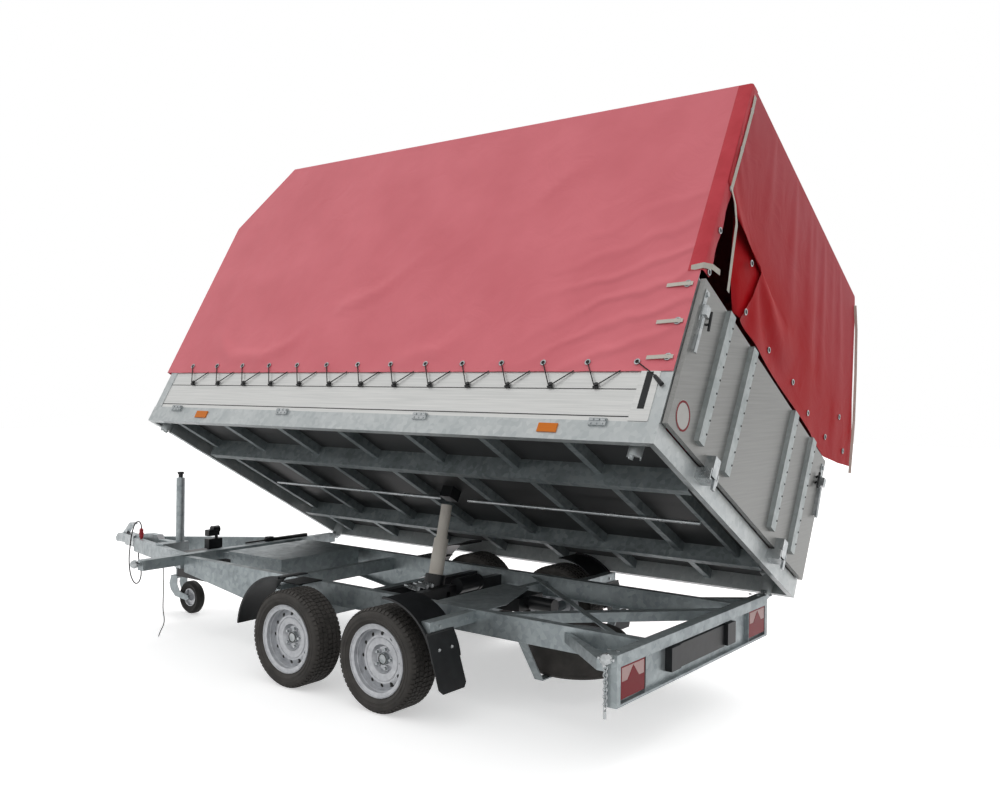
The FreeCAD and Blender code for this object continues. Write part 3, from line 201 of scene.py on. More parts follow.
def zinc(name, light, dark, metallic, roughness):
    """Zinc-coated steel: greyer and lighter crystals under slow clouds."""
    material, tree, shader = blank(name)
    place = add(tree, "TexCoord").outputs["Object"]
    crystals = add(tree, "TexVoronoi", Vector=place, Scale=1000 / CRYSTAL_MM).outputs["Color"]
    grey = add(tree, "RGBToBW", Color=crystals).outputs["Val"]
    crystal_part = add(tree, "Math", {"operation": "MULTIPLY"}, _0=grey, _1=0.35).outputs[0]
    cloud_part = add(tree, "Math", {"operation": "MULTIPLY"}, _0=patches(tree, CLOUD_MM), _1=0.7).outputs[0]
    pattern = add(tree, "Math", {"operation": "ADD"}, _0=crystal_part, _1=cloud_part).outputs[0]
    dull = add(tree, "MapRange", _0=patches(tree, SHINE_MM), **MIDDLE_RANGE, _3=roughness - 0.08,
               _4=roughness + 0.1).outputs["Result"]
    feed(tree, shader, Base_Color=mottled(tree, pattern, dark, light), Metallic=metallic, Roughness=dull,
         IOR=1.5)
    return material


FINISH = {
    "galvanised": zinc("hot_dip_zinc", "a3abad", "838b8e", 0.6, 0.42),
    "light_profile": zinc("bright_zinc_profile", "c6caca", "b0b6b7", 0.5, 0.38),
    "cast_steel": zinc("zinc_plated_fittings", "b9bcbd", "93999b", 0.8, 0.3),
}
# A darker copy of the bright profile for the gate's ribs: painted shade.
GATE_RIB_PAINTED_SHADE = zinc("zinc_profile_painted_shade", "aeb4b4", "989f9f", 0.5, 0.42)
# A darker, rougher copy of the zinc for the beams under the bed: painted shade.
UNDER_BED_PAINTED_SHADE = zinc("zinc_painted_shade_under_bed", "8a9294", "697173", 0.5, 0.5)
print("zinc finishes", len(bpy.data.materials))

# %% [markdown]
# The side boards and the gate are rolled aluminium: satin, with faint lines along the rolling
# direction. A noise that is a third of a metre long and about 8 mm across the lines draws them without
# any picture. The gate's sheet is a duller mill finish, and its lines run across the trailer. Its darker
# colour is also painted shade, as the gate faces away from the light.

# %% Rolled aluminium boards
LINE_LONG_MM = 1000 / 3
LINE_WIDE_MM = 25 / 3


def rolled(name, light, dark, line_mm):
    """Rolled aluminium with lines of a size along x, y and z."""
    material, tree, shader = blank(name)
    place = add(tree, "TexCoord").outputs["Object"]
    drawn = add(tree, "Mapping", Vector=place, Scale=[1000 / size for size in line_mm]).outputs["Vector"]
    lines = add(tree, "TexNoise", Vector=drawn, Scale=1.0, Detail=4.0).outputs["Fac"]
    dull = add(tree, "MapRange", _0=lines, **MIDDLE_RANGE, _3=0.36, _4=0.48).outputs["Result"]
    feed(tree, shader, Base_Color=mottled(tree, lines, dark, light), Metallic=0.55, Roughness=dull, IOR=1.5)
    return material


FINISH["board"] = rolled("rolled_aluminium", "dfdfdd", "cecfcd", (LINE_LONG_MM, LINE_WIDE_MM, LINE_WIDE_MM))
# A darker copy of the same aluminium: painted shade on the gate, with its duller mill finish.
GATE_SHEET_PAINTED_SHADE = rolled("aluminium_sheet_painted_shade", "959593", "858583", (LINE_WIDE_MM, LINE_LONG_MM, LINE_WIDE_MM))
print("rolled lines are", round(LINE_WIDE_MM, 1), "mm wide")

# %% [markdown]
# Plastics, paints and rubber differ mostly in colour, shine and grain. Each could be a graph of its
# own, but they would be the same graph, so one small function makes them from a table. Their grain is
# a few millimetres wide, which is coarser than the real one, so that it shows in the picture. Colour
# patches of fourteen grains keep large faces from looking flat.

# %% Paints, plastics and rubber
PATCH_GRAINS = 14
PLAIN = (
    # slot, material, light colour, dark colour, metallic, roughness, grain in mm, relief in mm
    ("black_plastic", "black_moulded_plastic", "1d1f21", "131416", 0.0, 0.42, 3, 0.15),
    ("black_steel", "black_painted_steel", "222426", "151618", 0.0, 0.35, 8, 0.05),
    ("ram_paint", "grey_beige_ram_paint", "e2dcd2", "cfc8be", 0.0, 0.4, 12, 0.03),
    ("tyre", "tyre_rubber", "514e4b", "3e3c3a", 0.0, 0.75, 5, 0.3),
    ("rubber", "soft_black_rubber", "2b2a28", "1c1b1a", 0.0, 0.7, 4, 0.2),
    ("wheel_paint", "silver_wheel_paint", "cdcfd2", "b6b8bc", 0.45, 0.36, 2, 0.02),
    # The bed's floor is near-black: film-faced plywood, and also painted shade for the dark space under the
    # bed.
    ("plywood", "film_faced_plywood_and_painted_shade", "2b2b2b", "1b1b1c", 0.0, 0.5, 30, 0.05),
    ("red_plastic", "red_moulded_plastic", "b03038", "9a222c", 0.0, 0.4, 3, 0.05),
)


def plain(name, light, dark, metallic, roughness, grain, relief):
    """A paint, plastic or rubber with a fine grain in relief."""
    material, tree, shader = blank(name)
    grains = add(tree, "Bump", Height=patches(tree, grain), Strength=0.4, Distance=relief / 1000)
    feed(tree, shader, Base_Color=mottled(tree, patches(tree, PATCH_GRAINS * grain), dark, light),
         Metallic=metallic, Roughness=roughness, IOR=1.5, Specular_IOR_Level=0.35,
         Normal=grains.outputs["Normal"])
    return material


for slot, *look in PLAIN:
    FINISH[slot] = plain(*look)
BRIGHT = FINISH["cast_steel"]
BLACK = FINISH["black_plastic"]
RUBBER = FINISH["rubber"]
print("finishes so far", sorted(FINISH))

# %% [markdown]
# Lenses are clear coloured plastic over a bright bowl. From outside they read as a deep colour with a
# soft highlight and fine moulded ribs. Modelled ribs would need thousands of faces, so a wave in the
# relief draws them, one every 6 mm.

# %% Lamp lenses
RIB_MM = 6


def lens(name, colour):
    """A ribbed lens of one colour."""
    material, tree, shader = blank(name)
    place = add(tree, "TexCoord").outputs["Object"]
    ribs = add(tree, "TexWave", {"bands_direction": "Y"}, Vector=place, Scale=band_scale(RIB_MM))
    relief = add(tree, "Bump", Height=ribs.outputs["Fac"], Strength=0.5, Distance=0.0004)
    feed(tree, shader, Base_Color=linear(colour), Roughness=0.3, IOR=1.49, Specular_IOR_Level=0.12,
         Normal=relief.outputs["Normal"])
    return material


FINISH["red_lens"] = lens("red_lens", "8c1220")
FINISH["amber_lens"] = lens("amber_lens", "e5812f")
CLEAR_LENS = lens("pale_pink_lens", "dcb9b6")
print("lens ribs every", RIB_MM, "mm")

# %% [markdown]
# The cover is cloth with a thick plastic coat: strong red, half glossy, with a fine weave that shows
# only close up. Broad creases run all over it, and the short straps at the rear pull long slanting
# folds into the side. Modelled folds would need a very fine mesh, and the simulation further down gives
# only the slow sag, so creases and folds are relief. The folds fade away from the straps.

# %% Relief of the coated cloth
CREASE_MM = 222.2
FOLD_MM = 150
WEAVE_MM = 1.6
FOLD_SLANT = math.radians(-20)
STRAPS_MIDDLE = Vector((-4.93, 0.95, 1.13))
FADE_FROM = 0.25
FADE_TO = 1.0


def pulled_folds(tree, on_bed, relief):
    """Slanting folds that fade with the distance from the short straps."""
    away = add(tree, "Mapping", Vector=on_bed, Location=-STRAPS_MIDDLE).outputs["Vector"]
    slanted = add(tree, "Mapping", Vector=away, Rotation=(0, FOLD_SLANT, 0)).outputs["Vector"]
    bands = add(tree, "TexWave", {"bands_direction": "Z"}, Vector=slanted, Distortion=5.0,
                Scale=band_scale(FOLD_MM)).outputs["Fac"]
    folds = add(tree, "Math", {"operation": "POWER"}, _0=bands, _1=2.5).outputs[0]
    distance = add(tree, "VectorMath", {"operation": "LENGTH"}, Vector=away).outputs["Value"]
    near = add(tree, "MapRange", {"interpolation_type": "SMOOTHSTEP"}, _0=distance, _1=FADE_FROM, _2=FADE_TO,
               _3=1.0, _4=0.0).outputs["Result"]
    height = add(tree, "Math", {"operation": "MULTIPLY"}, _0=folds, _1=near).outputs[0]
    return add(tree, "Bump", Height=height, Strength=0.6, Distance=0.012, Normal=relief).outputs["Normal"]


def cloth_relief(tree, on_bed, pulled):
    """Creases, the straps' folds where they are wanted, and the weave on top of them."""
    place = add(tree, "TexCoord").outputs["Object"]
    creases = add(tree, "TexNoise", Vector=place, Scale=1000 / CREASE_MM, Detail=5.0, Distortion=1.2)
    relief = add(tree, "Bump", Height=creases.outputs["Fac"], Strength=0.35, Distance=0.014).outputs["Normal"]
    if pulled:
        relief = pulled_folds(tree, on_bed, relief)
    weave = add(tree, "TexWave", {"bands_direction": "DIAGONAL"}, Vector=place, Scale=band_scale(WEAVE_MM))
    fine = add(tree, "Bump", Height=weave.outputs["Fac"], Strength=0.15, Distance=0.0003, Normal=relief)
    return fine.outputs["Normal"]


print("weave scale", round(band_scale(WEAVE_MM)))

# %% [markdown]
# The cover is given a paler, lighter red than the curtain: painted light from the sky on the side.
# The rear curtain keeps its deep red and gets a painted sky reflection towards its top. The folded edges
# are between the two. All three are the same cloth, so one function makes them, and each has its own
# way to find its colour.

# %% Colours of the coated cloth
SIDE_PATCH_MM = 420
EDGE_PATCH_MM = 120
CURTAIN_PATCH_MM = 300
PAINTED_SHEEN_FROM = 1.75
PAINTED_SHEEN_TO = 2.45


def painted_light_side_colour(tree, height):
    """The side in slow patches, with painted light from the sky."""
    return mottled(tree, patches(tree, SIDE_PATCH_MM), "e36f7a", "ee7b86")


def edge_colour(tree, height):
    """The folded edges in smaller patches."""
    return mottled(tree, patches(tree, EDGE_PATCH_MM), "d6434f", "c93843")


def curtain_colour(tree, height):
    """The curtain, with a painted sky reflection towards its top and a little tone in patches."""
    # Painted sky reflection: the red turns pinker towards the curtain's top, mixed with random patches.
    painted_sheen = add(tree, "MapRange", _0=height, _1=PAINTED_SHEEN_FROM, _2=PAINTED_SHEEN_TO, _3=0.0, _4=1.0).outputs["Result"]
    spots = patches(tree, CURTAIN_PATCH_MM)
    spots = add(tree, "MapRange", _0=spots, **MIDDLE_RANGE, _3=0.0, _4=1.0).outputs["Result"]
    sheen_and_tone = add(tree, "Mix", {"data_type": "FLOAT"}, _0=0.25, _2=painted_sheen, _3=spots).outputs[0]
    mix = add(tree, "Mix", {"data_type": "RGBA"}, _0=sheen_and_tone, _6=linear("c01019"), _7=linear("c8565f"))
    return mix.outputs[2]


def coated_cloth(name, colour_of, roughness, specular, pulled=False):
    """Coated cloth whose patterns are turned with the tipped bed."""
    material, tree, shader = blank(name)
    place = add(tree, "TexCoord").outputs["Object"]
    on_bed = add(tree, "Mapping", Vector=place, Rotation=(-TILT, 0, 0)).outputs["Vector"]
    height = add(tree, "SeparateXYZ", Vector=on_bed).outputs["Z"]
    feed(tree, shader, Base_Color=colour_of(tree, height), Roughness=roughness, IOR=1.5,
         Specular_IOR_Level=specular, Normal=cloth_relief(tree, on_bed, pulled))
    return material


FINISH["tarpaulin"] = coated_cloth("red_coated_cloth_side", painted_light_side_colour, 0.5, 0.45, pulled=True)
CURTAIN_CLOTH = coated_cloth("red_coated_cloth_rear", curtain_colour, 0.45, 0.07)
EDGE_CLOTH = coated_cloth("red_coated_cloth_edge", edge_colour, 0.45, 0.3)
print("cloths", [cloth.name for cloth in (FINISH["tarpaulin"], CURTAIN_CLOTH, EDGE_CLOTH)])

# %% [markdown]
# Every construction piece already carries the name of its finish in the record, so one loop hands the
# finished materials out and the frame itself stays as it came. The gate and the beams under the bed
# get darker copies of their metal: painted shade, as they lie away from the light, and on the gate also
# its duller finish.

# %% Hand the finishes out
DULLER_AND_PAINTED_SHADE = {
    "gate_panel": GATE_SHEET_PAINTED_SHADE,
    "gate_stiffeners": GATE_RIB_PAINTED_SHADE,
    "bed_longitudinals": UNDER_BED_PAINTED_SHADE,
    "bed_crossmembers": UNDER_BED_PAINTED_SHADE,
}
for piece in frame["record"]["subparts"]:
    target = node_of[piece["node"]]
    target.data.materials.clear()
    target.data.materials.append(DULLER_AND_PAINTED_SHADE.get(piece["node"], FINISH[piece["material_slot"]]))

# %% [markdown]
# Every added piece ends the same way: its mesh gets its place, its finish and the body that it moves
# with. The object could be moved instead of its mesh, but patterns are laid on object coordinates, and
# with every object at the origin they run on from piece to piece. One helper does that for all.

# %% Finish a piece
def finish_piece(name, shape, material, body, place=SHOP, smooth=None):
    """Writes a bmesh to an object with its place in the mesh, a finish, and the body that it rides on."""
    bmesh.ops.transform(shape, matrix=place, verts=shape.verts)
    mesh = bpy.data.meshes.new(name)
    shape.to_mesh(mesh)
    shape.free()
    mesh.materials.append(material)
    if smooth is not None:
        mesh.polygons.foreach_set("use_smooth", [True] * len(mesh.polygons))
        mesh.set_sharp_from_angle(angle=math.radians(smooth))
    piece = bpy.data.objects.new(name, mesh)
    bpy.context.collection.objects.link(piece)
    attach(piece, body)
    return piece


# %% [markdown]
# Most fittings are blocks with rounded edges and short round bars. Each could be an object of its own,
# but a row of rivets is easier to keep as one piece, so the helpers add to a mesh that is being built.
# A block is a cube that is scaled and bevelled, a bar is a cone whose ends have the radii that are
# wanted, and a prism is a flat outline that is extruded.

# %% Blocks and bars
def block(shape, low, high, rounding=0.0):
    """A box between two corners, with its edges rounded a little."""
    low, high = Vector(low), Vector(high)
    made = bmesh.ops.create_cube(shape, size=1.0)["verts"]
    bmesh.ops.scale(shape, vec=high - low, verts=made)
    bmesh.ops.translate(shape, vec=(low + high) / 2, verts=made)
    if rounding:
        edges = {edge for vert in made for edge in vert.link_edges}
        bmesh.ops.bevel(shape, geom=list(edges), offset=rounding, segments=2, profile=0.5, affect="EDGES",
                        material=-1)


def side_block(shape, x_range, y_range, z_range, rounding=0.0):
    """A block whose two y values may come in either order, as they do on the right side."""
    low, high = zip(x_range, sorted(y_range), z_range)
    block(shape, low, high, rounding)


def bar(shape, start, end, radius, sides=12, end_radius=None):
    """A round bar from one point to another."""
    start, end = Vector(start), Vector(end)
    along = end - start
    turn = along.to_track_quat("Z", "Y").to_matrix().to_4x4()
    bmesh.ops.create_cone(shape, cap_ends=True, segments=sides, radius1=radius,
                          radius2=radius if end_radius is None else end_radius, depth=along.length,
                          matrix=Matrix.Translation((start + end) / 2) @ turn)


def prism(shape, outline, thickness):
    """A flat outline of points, extruded by a vector."""
    face = shape.faces.new([shape.verts.new(point) for point in outline])
    grown = bmesh.ops.extrude_face_region(shape, geom=[face])["geom"]
    far_side = [item for item in grown if isinstance(item, bmesh.types.BMVert)]
    bmesh.ops.translate(shape, vec=thickness, verts=far_side)
    bmesh.ops.recalc_face_normals(shape, faces=shape.faces)


trial = bmesh.new()
block(trial, (0, 0, 0), (0.1, 0.1, 0.1), 0.01)
print("a rounded block has", len(trial.faces), "faces")
trial.free()

# %% [markdown]
# Rings, tyres and caps are turned shapes: a small outline is spun about an axis, as on a lathe. A
# strap could be a curve with a flat bevel, but that twists where its route bends in two directions. So
# it is a row of flat faces, all with the same direction across, thickened at the end.

# %% Rings, turned shapes and straps
def ring(shape, middle, axis, radius, wire, sides=20, around=8):
    """A ring of round wire: a small circle spun about the ring's axis."""
    middle, axis = Vector(middle), Vector(axis).normalized()
    turn = Matrix.Translation(middle) @ axis.to_track_quat("Z", "Y").to_matrix().to_4x4()
    start = turn @ Matrix.Translation((radius, 0, 0)) @ Matrix.Rotation(math.pi / 2, 4, "X")
    circle = bmesh.ops.create_circle(shape, segments=around, radius=wire, matrix=start)["verts"]
    edges = list({edge for vert in circle for edge in vert.link_edges})
    bmesh.ops.spin(shape, geom=circle + edges, cent=middle, axis=axis, angle=2 * math.pi, steps=sides,
                   use_merge=True, use_duplicate=False)


def lathe(shape, outline, steps, middle):
    """An outline of (radius, distance along y) pairs spun about the y axis through a point."""
    middle = Vector(middle)
    verts = [shape.verts.new(middle + Vector((radius, along, 0))) for radius, along in outline]
    edges = [shape.edges.new(pair) for pair in zip(verts, verts[1:])]
    bmesh.ops.spin(shape, geom=verts + edges, cent=middle, axis=(0, 1, 0), angle=2 * math.pi, steps=steps,
                   use_merge=True, use_duplicate=False)
    bmesh.ops.recalc_face_normals(shape, faces=shape.faces)


def strap(shape, points, half_width, thick=0.002):
    """A flat strap along points; half its width is a vector across it."""
    rows = [[shape.verts.new(Vector(point) + sign * Vector(half_width)) for sign in (1, -1)]
            for point in points]
    faces = [shape.faces.new((a[0], a[1], b[1], b[0])) for a, b in zip(rows, rows[1:])]
    bmesh.ops.recalc_face_normals(shape, faces=faces)
    bmesh.ops.solidify(shape, geom=faces, thickness=thick)


trial = bmesh.new()
ring(trial, (0, 0, 0), (0, 0, 1), 0.02, 0.002)
print("a ring has", len(trial.faces), "faces")
trial.free()

# %% [markdown]
# Cloth starts as a flat grid. A rule then says where each of its points goes, so the same helper lays
# the cover, the curtain, the corner strip and the folded edge.

# %% Laid cloth
def lay_grid(shape, columns, rows, place_at):
    """Adds a grid, puts each point where the rule says, and returns the points' columns and rows."""
    made = bmesh.ops.create_grid(shape, x_segments=columns, y_segments=rows, size=0.5)["verts"]
    steps = [(round((vert.co.x + 0.5) * columns), round((vert.co.y + 0.5) * rows)) for vert in made]
    for vert, (column, row) in zip(made, steps):
        vert.co = place_at(column, row)
    return steps


trial = bmesh.new()
print("a grid of 4 by 3 has", len(lay_grid(trial, 4, 3, lambda column, row: (column, row, 0))), "points")
trial.free()

# %% [markdown]
# The cover is one tailored cloth over four hoops: two sides, the roof, a sloping front part and the
# front. It could be modelled flat face by flat face, but then it would look like tin. A grid that is
# folded over the hoops' outline can be simulated, so it gets the slack that real cloth has.

# %% Where the cover lies
BOWS = (0.040, BED_LENGTH / 3, BED_LENGTH * 2 / 3, BEVEL_START - 0.025)
HOOKS = [0.370 + 0.250 * index for index in range(13)]
EYELETS = [0.190] + [hook + 0.080 for hook in HOOKS]
LONG_STEPS = 84
SLOPE_STEPS = 8
SIDE_STEPS = 42
ROOF_STEPS = 48
ACROSS_STEPS = 2 * SIDE_STEPS + ROOF_STEPS


def roof_height(x):
    """The roof's height over the bed: level, then sloping down to the front."""
    return COVER_TOP - BEVEL_DROP * max(0.0, x - BEVEL_START) / (COVER_FRONT - BEVEL_START)


def over_hoops(along, across):
    """Where a grid point of the sides and the roof lies on the hoops."""
    if along <= LONG_STEPS:
        x = BEVEL_START * along / LONG_STEPS
    else:
        x = BEVEL_START + (COVER_FRONT - BEVEL_START) * (along - LONG_STEPS) / SLOPE_STEPS
    top = roof_height(x)
    if across < SIDE_STEPS:
        return Vector((x, HALF, COVER_HEM + (top - COVER_HEM) * across / SIDE_STEPS))
    if across <= SIDE_STEPS + ROOF_STEPS:
        return Vector((x, HALF - 2 * HALF * (across - SIDE_STEPS) / ROOF_STEPS, top))
    return Vector((x, -HALF, top - (top - COVER_HEM) * (across - SIDE_STEPS - ROOF_STEPS) / SIDE_STEPS))


def front_panel(across, upward):
    """Where a grid point of the front lies."""
    front_top = roof_height(COVER_FRONT)
    return Vector((COVER_FRONT, HALF - 2 * HALF * across / ROOF_STEPS,
                   COVER_HEM + (front_top - COVER_HEM) * upward / SIDE_STEPS))


print("hooks", len(HOOKS), "eyelets along a side", len(EYELETS))

# %% [markdown]
# The sides and the roof are one grid, and the front is a second one. They meet along the front's edges,
# where doubled points are merged, as the real panels are joined there.

# %% Fold the cover
cloth = bmesh.new()
lay_grid(cloth, LONG_STEPS + SLOPE_STEPS, ACROSS_STEPS, over_hoops)
lay_grid(cloth, ROOF_STEPS, SIDE_STEPS, front_panel)
bmesh.ops.remove_doubles(cloth, verts=cloth.verts, dist=0.002)
bmesh.ops.recalc_face_normals(cloth, faces=cloth.faces)
cover_area = sum(face.calc_area() for face in cloth.faces)
print("cover: points", len(cloth.verts), "cloth", round(cover_area, 2), "square metres")

# %% [markdown]
# The real cover is fixed along the roof's edges, over the hoops, at the front's corners, along the rear
# edge and at each eyelet. Those points are held, and everything else is free to sag.

# %% Held points of the cover
ON_EDGE = 0.004
ON_HOOP = 0.022
ON_EYELET = 0.028
EYELET_ZONE = 0.082
HEM_ZONE = 0.012
CORNER = 0.05
REAR_EDGE = 0.02
HOOP_FOOT = 0.36


def held_by_cover(place):
    """Whether a point of the cover is fixed."""
    x, y, z = place
    side = abs(abs(y) - HALF) < ON_EDGE
    roof = abs(z - roof_height(x)) < ON_EDGE
    front = x > COVER_FRONT - ON_EDGE
    hoop = any(abs(x - bow) < ON_HOOP for bow in BOWS)
    eyelet = any(abs(x - hole) < ON_EYELET for hole in EYELETS)
    seam = side and roof or front and (side or roof)
    over_hoop = hoop and roof or side and z > HOOP_FOOT and (hoop or x < REAR_EDGE)
    at_eyelet = side and eyelet and z < COVER_HEM + EYELET_ZONE
    at_corner = x > COVER_FRONT - CORNER and abs(y) > HALF - CORNER or x < CORNER
    return seam or over_hoop or at_eyelet or at_corner and z < COVER_HEM + HEM_ZONE


held_cover = [held_by_cover(vert.co) for vert in cloth.verts]
cover = finish_piece("cloth_cover", cloth, FINISH["tarpaulin"], "bed", BED, smooth=40)
print("cover held at", sum(held_cover), "of", len(held_cover), "points")

# %% [markdown]
# A cloth simulation needs a piece, its held points, a number of frames and the cloth's stiffness. A
# hidden body keeps the cloth from sinking into what is under it. The result is read once and written
# to the mesh, so nothing is left to simulate later.

# %% Cloth simulation
def simulate(piece, held, frames, stiffness, bending, extra):
    """Runs a cloth simulation on a piece and writes the result to its mesh."""
    group = piece.vertex_groups.new(name="held")
    group.add([index for index, flag in enumerate(held) if flag], 1.0, "ADD")
    modifier = piece.modifiers.new("cloth", "CLOTH")
    settings = modifier.settings
    settings.quality = 7
    settings.mass = 0.35
    settings.air_damping = 4
    settings.tension_stiffness = settings.compression_stiffness = stiffness
    settings.shear_stiffness = stiffness / 2
    settings.bending_stiffness = bending
    settings.shrink_min = -extra
    settings.vertex_group_mass = "held"
    modifier.collision_settings.use_collision = True
    modifier.collision_settings.distance_min = 0.003
    modifier.collision_settings.use_self_collision = False
    modifier.point_cache.frame_start = 1
    modifier.point_cache.frame_end = frames
    for number in range(1, frames + 1):
        bpy.context.scene.frame_set(number)
    result = piece.evaluated_get(bpy.context.evaluated_depsgraph_get())
    places = [vert.co.copy() for vert in result.to_mesh().vertices]
    result.to_mesh_clear()
    piece.modifiers.remove(modifier)
    piece.vertex_groups.remove(group)
    for vert, place in zip(piece.data.vertices, places):
        vert.co = place
    bpy.context.scene.frame_set(1)
    print(piece.name, "simulated for", frames, "frames")


def keep_out(shape, name):
    """A hidden body that simulated cloth can't sink into."""
    former = finish_piece(name, shape, FINISH["tarpaulin"], "bed", BED)
    former.modifiers.new("keep_out", "COLLISION")
    former.collision.thickness_outer = 0.002
    return former


print("simulation", "runs")

# %% [markdown]
# The cover's former is the outline of the hoops, a few millimetres smaller all round, so the cloth sinks
# in a little between the hoops and no further.

# %% Simulate the cover
FORMER_INSET = 0.006
front_x, roof_z, half = COVER_FRONT - FORMER_INSET, COVER_TOP - FORMER_INSET, HALF - FORMER_INSET
outline = [(x, -half, z) for x, z in (
    (0, 0), (front_x, 0), (front_x, roof_z - BEVEL_DROP), (BEVEL_START, roof_z), (0, roof_z))]
hoops = bmesh.new()
prism(hoops, outline, (0, 2 * half, 0))
former = keep_out(hoops, "hoop_former")
simulate(cover, held_cover, frames=24, stiffness=26.0, bending=1.6, extra=0.003)
bpy.data.objects.remove(former)
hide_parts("cover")

# %% [markdown]
# The rear curtain hangs from the roof's rear edge. It isn't fastened on the right, so that side hangs
# straight down beside the tipped bed. Its four edges were measured, and a grid is filled in between
# them: the left and right edges give one place for a point, the top and the hem another, and their sum
# less the corners' share meets all four edges.

# %% Edges of the curtain
# Each edge runs between (share of its length, y, z) points on the bed, seen from behind.
CURTAIN_LEFT = (
    (0.0, 0.950, 2.013), (0.30, 0.950, 1.700), (0.56, 0.948, 1.400), (0.64, 0.771, 1.309),
    (0.77, 0.400, 1.267), (0.88, 0.438, 1.083), (1.0, 0.515, 0.903),
)
CURTAIN_RIGHT = ((0.0, -0.953, 2.013), (0.14, -1.026, 1.882), (0.62, -1.240, 1.421), (1.0, -1.442, 1.056))
CURTAIN_HEM = (
    (0.0, 0.515, 0.903), (0.17, 0.200, 0.886), (0.48, -0.417, 0.900), (0.74, -0.932, 0.881),
    (0.87, -1.183, 0.958), (1.0, -1.442, 1.056),
)
CURTAIN_TOP = ((0.0, 0.950, 2.013), (1.0, -0.953, 2.013))
CURTAIN_ACROSS = 84
CURTAIN_DOWN = 50


def edge_at(edge, share):
    """A point of a curtain edge between the measured ones, as y and z."""
    for (low, y_low, z_low), (high, y_high, z_high) in zip(edge, edge[1:]):
        if share <= high + 1e-6:
            part = (share - low) / (high - low)
            return Vector((y_low + part * (y_high - y_low), z_low + part * (z_high - z_low)))
    return Vector(edge[-1][1:])


print("curtain's top is", round(CURTAIN_TOP[0][1] - CURTAIN_TOP[1][1], 3), "m wide")

# %% [markdown]
# The curtain is behind the hoops everywhere, and two slow waves across it give the simulation folds to
# start from. They grow towards the hem and fade out at the fastened left edge.

# %% Lay the curtain
def curtain_place(column, row):
    """A grid point of the curtain; share is the way across from the left, drop the way down."""
    share, drop = column / CURTAIN_ACROSS, row / CURTAIN_DOWN
    sides = (1 - share) * edge_at(CURTAIN_LEFT, drop) + share * edge_at(CURTAIN_RIGHT, drop)
    ends = (1 - drop) * edge_at(CURTAIN_TOP, share) + drop * edge_at(CURTAIN_HEM, share)
    top_corners = (1 - share) * edge_at(CURTAIN_TOP, 0) + share * edge_at(CURTAIN_TOP, 1)
    hem_corners = (1 - share) * edge_at(CURTAIN_HEM, 0) + share * edge_at(CURTAIN_HEM, 1)
    y, z = sides + ends - (1 - drop) * top_corners - drop * hem_corners
    fold = 0.016 * math.sin(7 * share + 4.0 * drop) + 0.008 * math.sin(17 * share - 6 * drop)
    loose = min(1.0, 5 * share) * drop
    return Vector((-0.008 - 0.016 * drop - (0.012 + fold) * loose, y, z))


cloth = bmesh.new()
steps = lay_grid(cloth, CURTAIN_ACROSS, CURTAIN_DOWN, curtain_place)
held_curtain = [row == 0 or column == 0 for column, row in steps]
curtain_area = sum(face.calc_area() for face in cloth.faces)
curtain = finish_piece("cloth_curtain", cloth, CURTAIN_CLOTH, "bed", BED, smooth=60)
print("curtain", round(curtain_area, 2), "square metres, held at", sum(held_curtain), "points")

# %% [markdown]
# Its top and its left edge are held, and the rest falls into folds. A hidden plane keeps it behind the
# hoops, where the real one is stopped by the bed.

# %% Simulate the curtain
keeper = bmesh.new()
upright = Matrix.Translation((-0.004, 0, 1.4)) @ Matrix.Rotation(-math.pi / 2, 4, "Y")
bmesh.ops.create_grid(keeper, x_segments=1, y_segments=1, size=3.0, matrix=upright)
backing = keep_out(keeper, "backing")
simulate(curtain, held_curtain, frames=22, stiffness=30.0, bending=3.0, extra=0.003)
bpy.data.objects.remove(backing)
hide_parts("rear_curtain")
print("curtain has", len(curtain.data.polygons), "faces")

# %% [markdown]
# A folded strip of the side cloth wraps the rear left corner and carries five eyelets. It could be part
# of the cover's grid, but it is a second layer with its own colour. Its outline across starts flat on
# the side, turns round the corner tube and ends in a loose edge, which waves a little.

# %% Wrapped corner strip
STRIP_WIDE = 0.062
STRIP_LOW = 0.885
STRIP_HIGH = COVER_TOP - 0.004
STRIP_ROWS = 24
EDGE_WAVE = 0.004
STRIP_ACROSS = (
    (0.064, HALF + 0.002), (-0.006, HALF + 0.002), (-0.012, HALF - 0.005), (-0.014, HALF - STRIP_WIDE / 2),
    (-0.015, HALF - STRIP_WIDE),
)


def strip_place(column, row):
    """A grid point of the corner strip."""
    x, y = STRIP_ACROSS[column]
    if column == len(STRIP_ACROSS) - 1:
        x -= EDGE_WAVE * math.sin(1.3 * row)
    return Vector((x, y, STRIP_LOW + (STRIP_HIGH - STRIP_LOW) * row / STRIP_ROWS))


cloth = bmesh.new()
lay_grid(cloth, len(STRIP_ACROSS) - 1, STRIP_ROWS, strip_place)
bmesh.ops.recalc_face_normals(cloth, faces=cloth.faces)
strip = finish_piece("cover_corner_strip", cloth, EDGE_CLOTH, "bed", BED, smooth=60)
print("corner strip", round(COVER_TOP - STRIP_LOW, 3), "m long")

# %% [markdown]
# Halfway down, the curtain is loose at its left, and that edge is folded in towards the load. The
# simulation can't fold cloth back on itself with so few points, so the fold is a piece of its own that
# curves away into the dark opening.

# %% Folded edge of the curtain
FOLD_COLUMNS = 5
FOLD_DEEP = 0.036
FOLD_ROWS = (
    # y and z of the edge inside, then of the edge behind the curtain
    (0.735, 1.372, 0.500, 1.330), (0.700, 1.310, 0.380, 1.285), (0.660, 1.210, 0.375, 1.190),
    (0.605, 1.090, 0.400, 1.070), (0.540, 1.000, 0.440, 0.985), (0.495, 0.950, 0.480, 0.930),
)


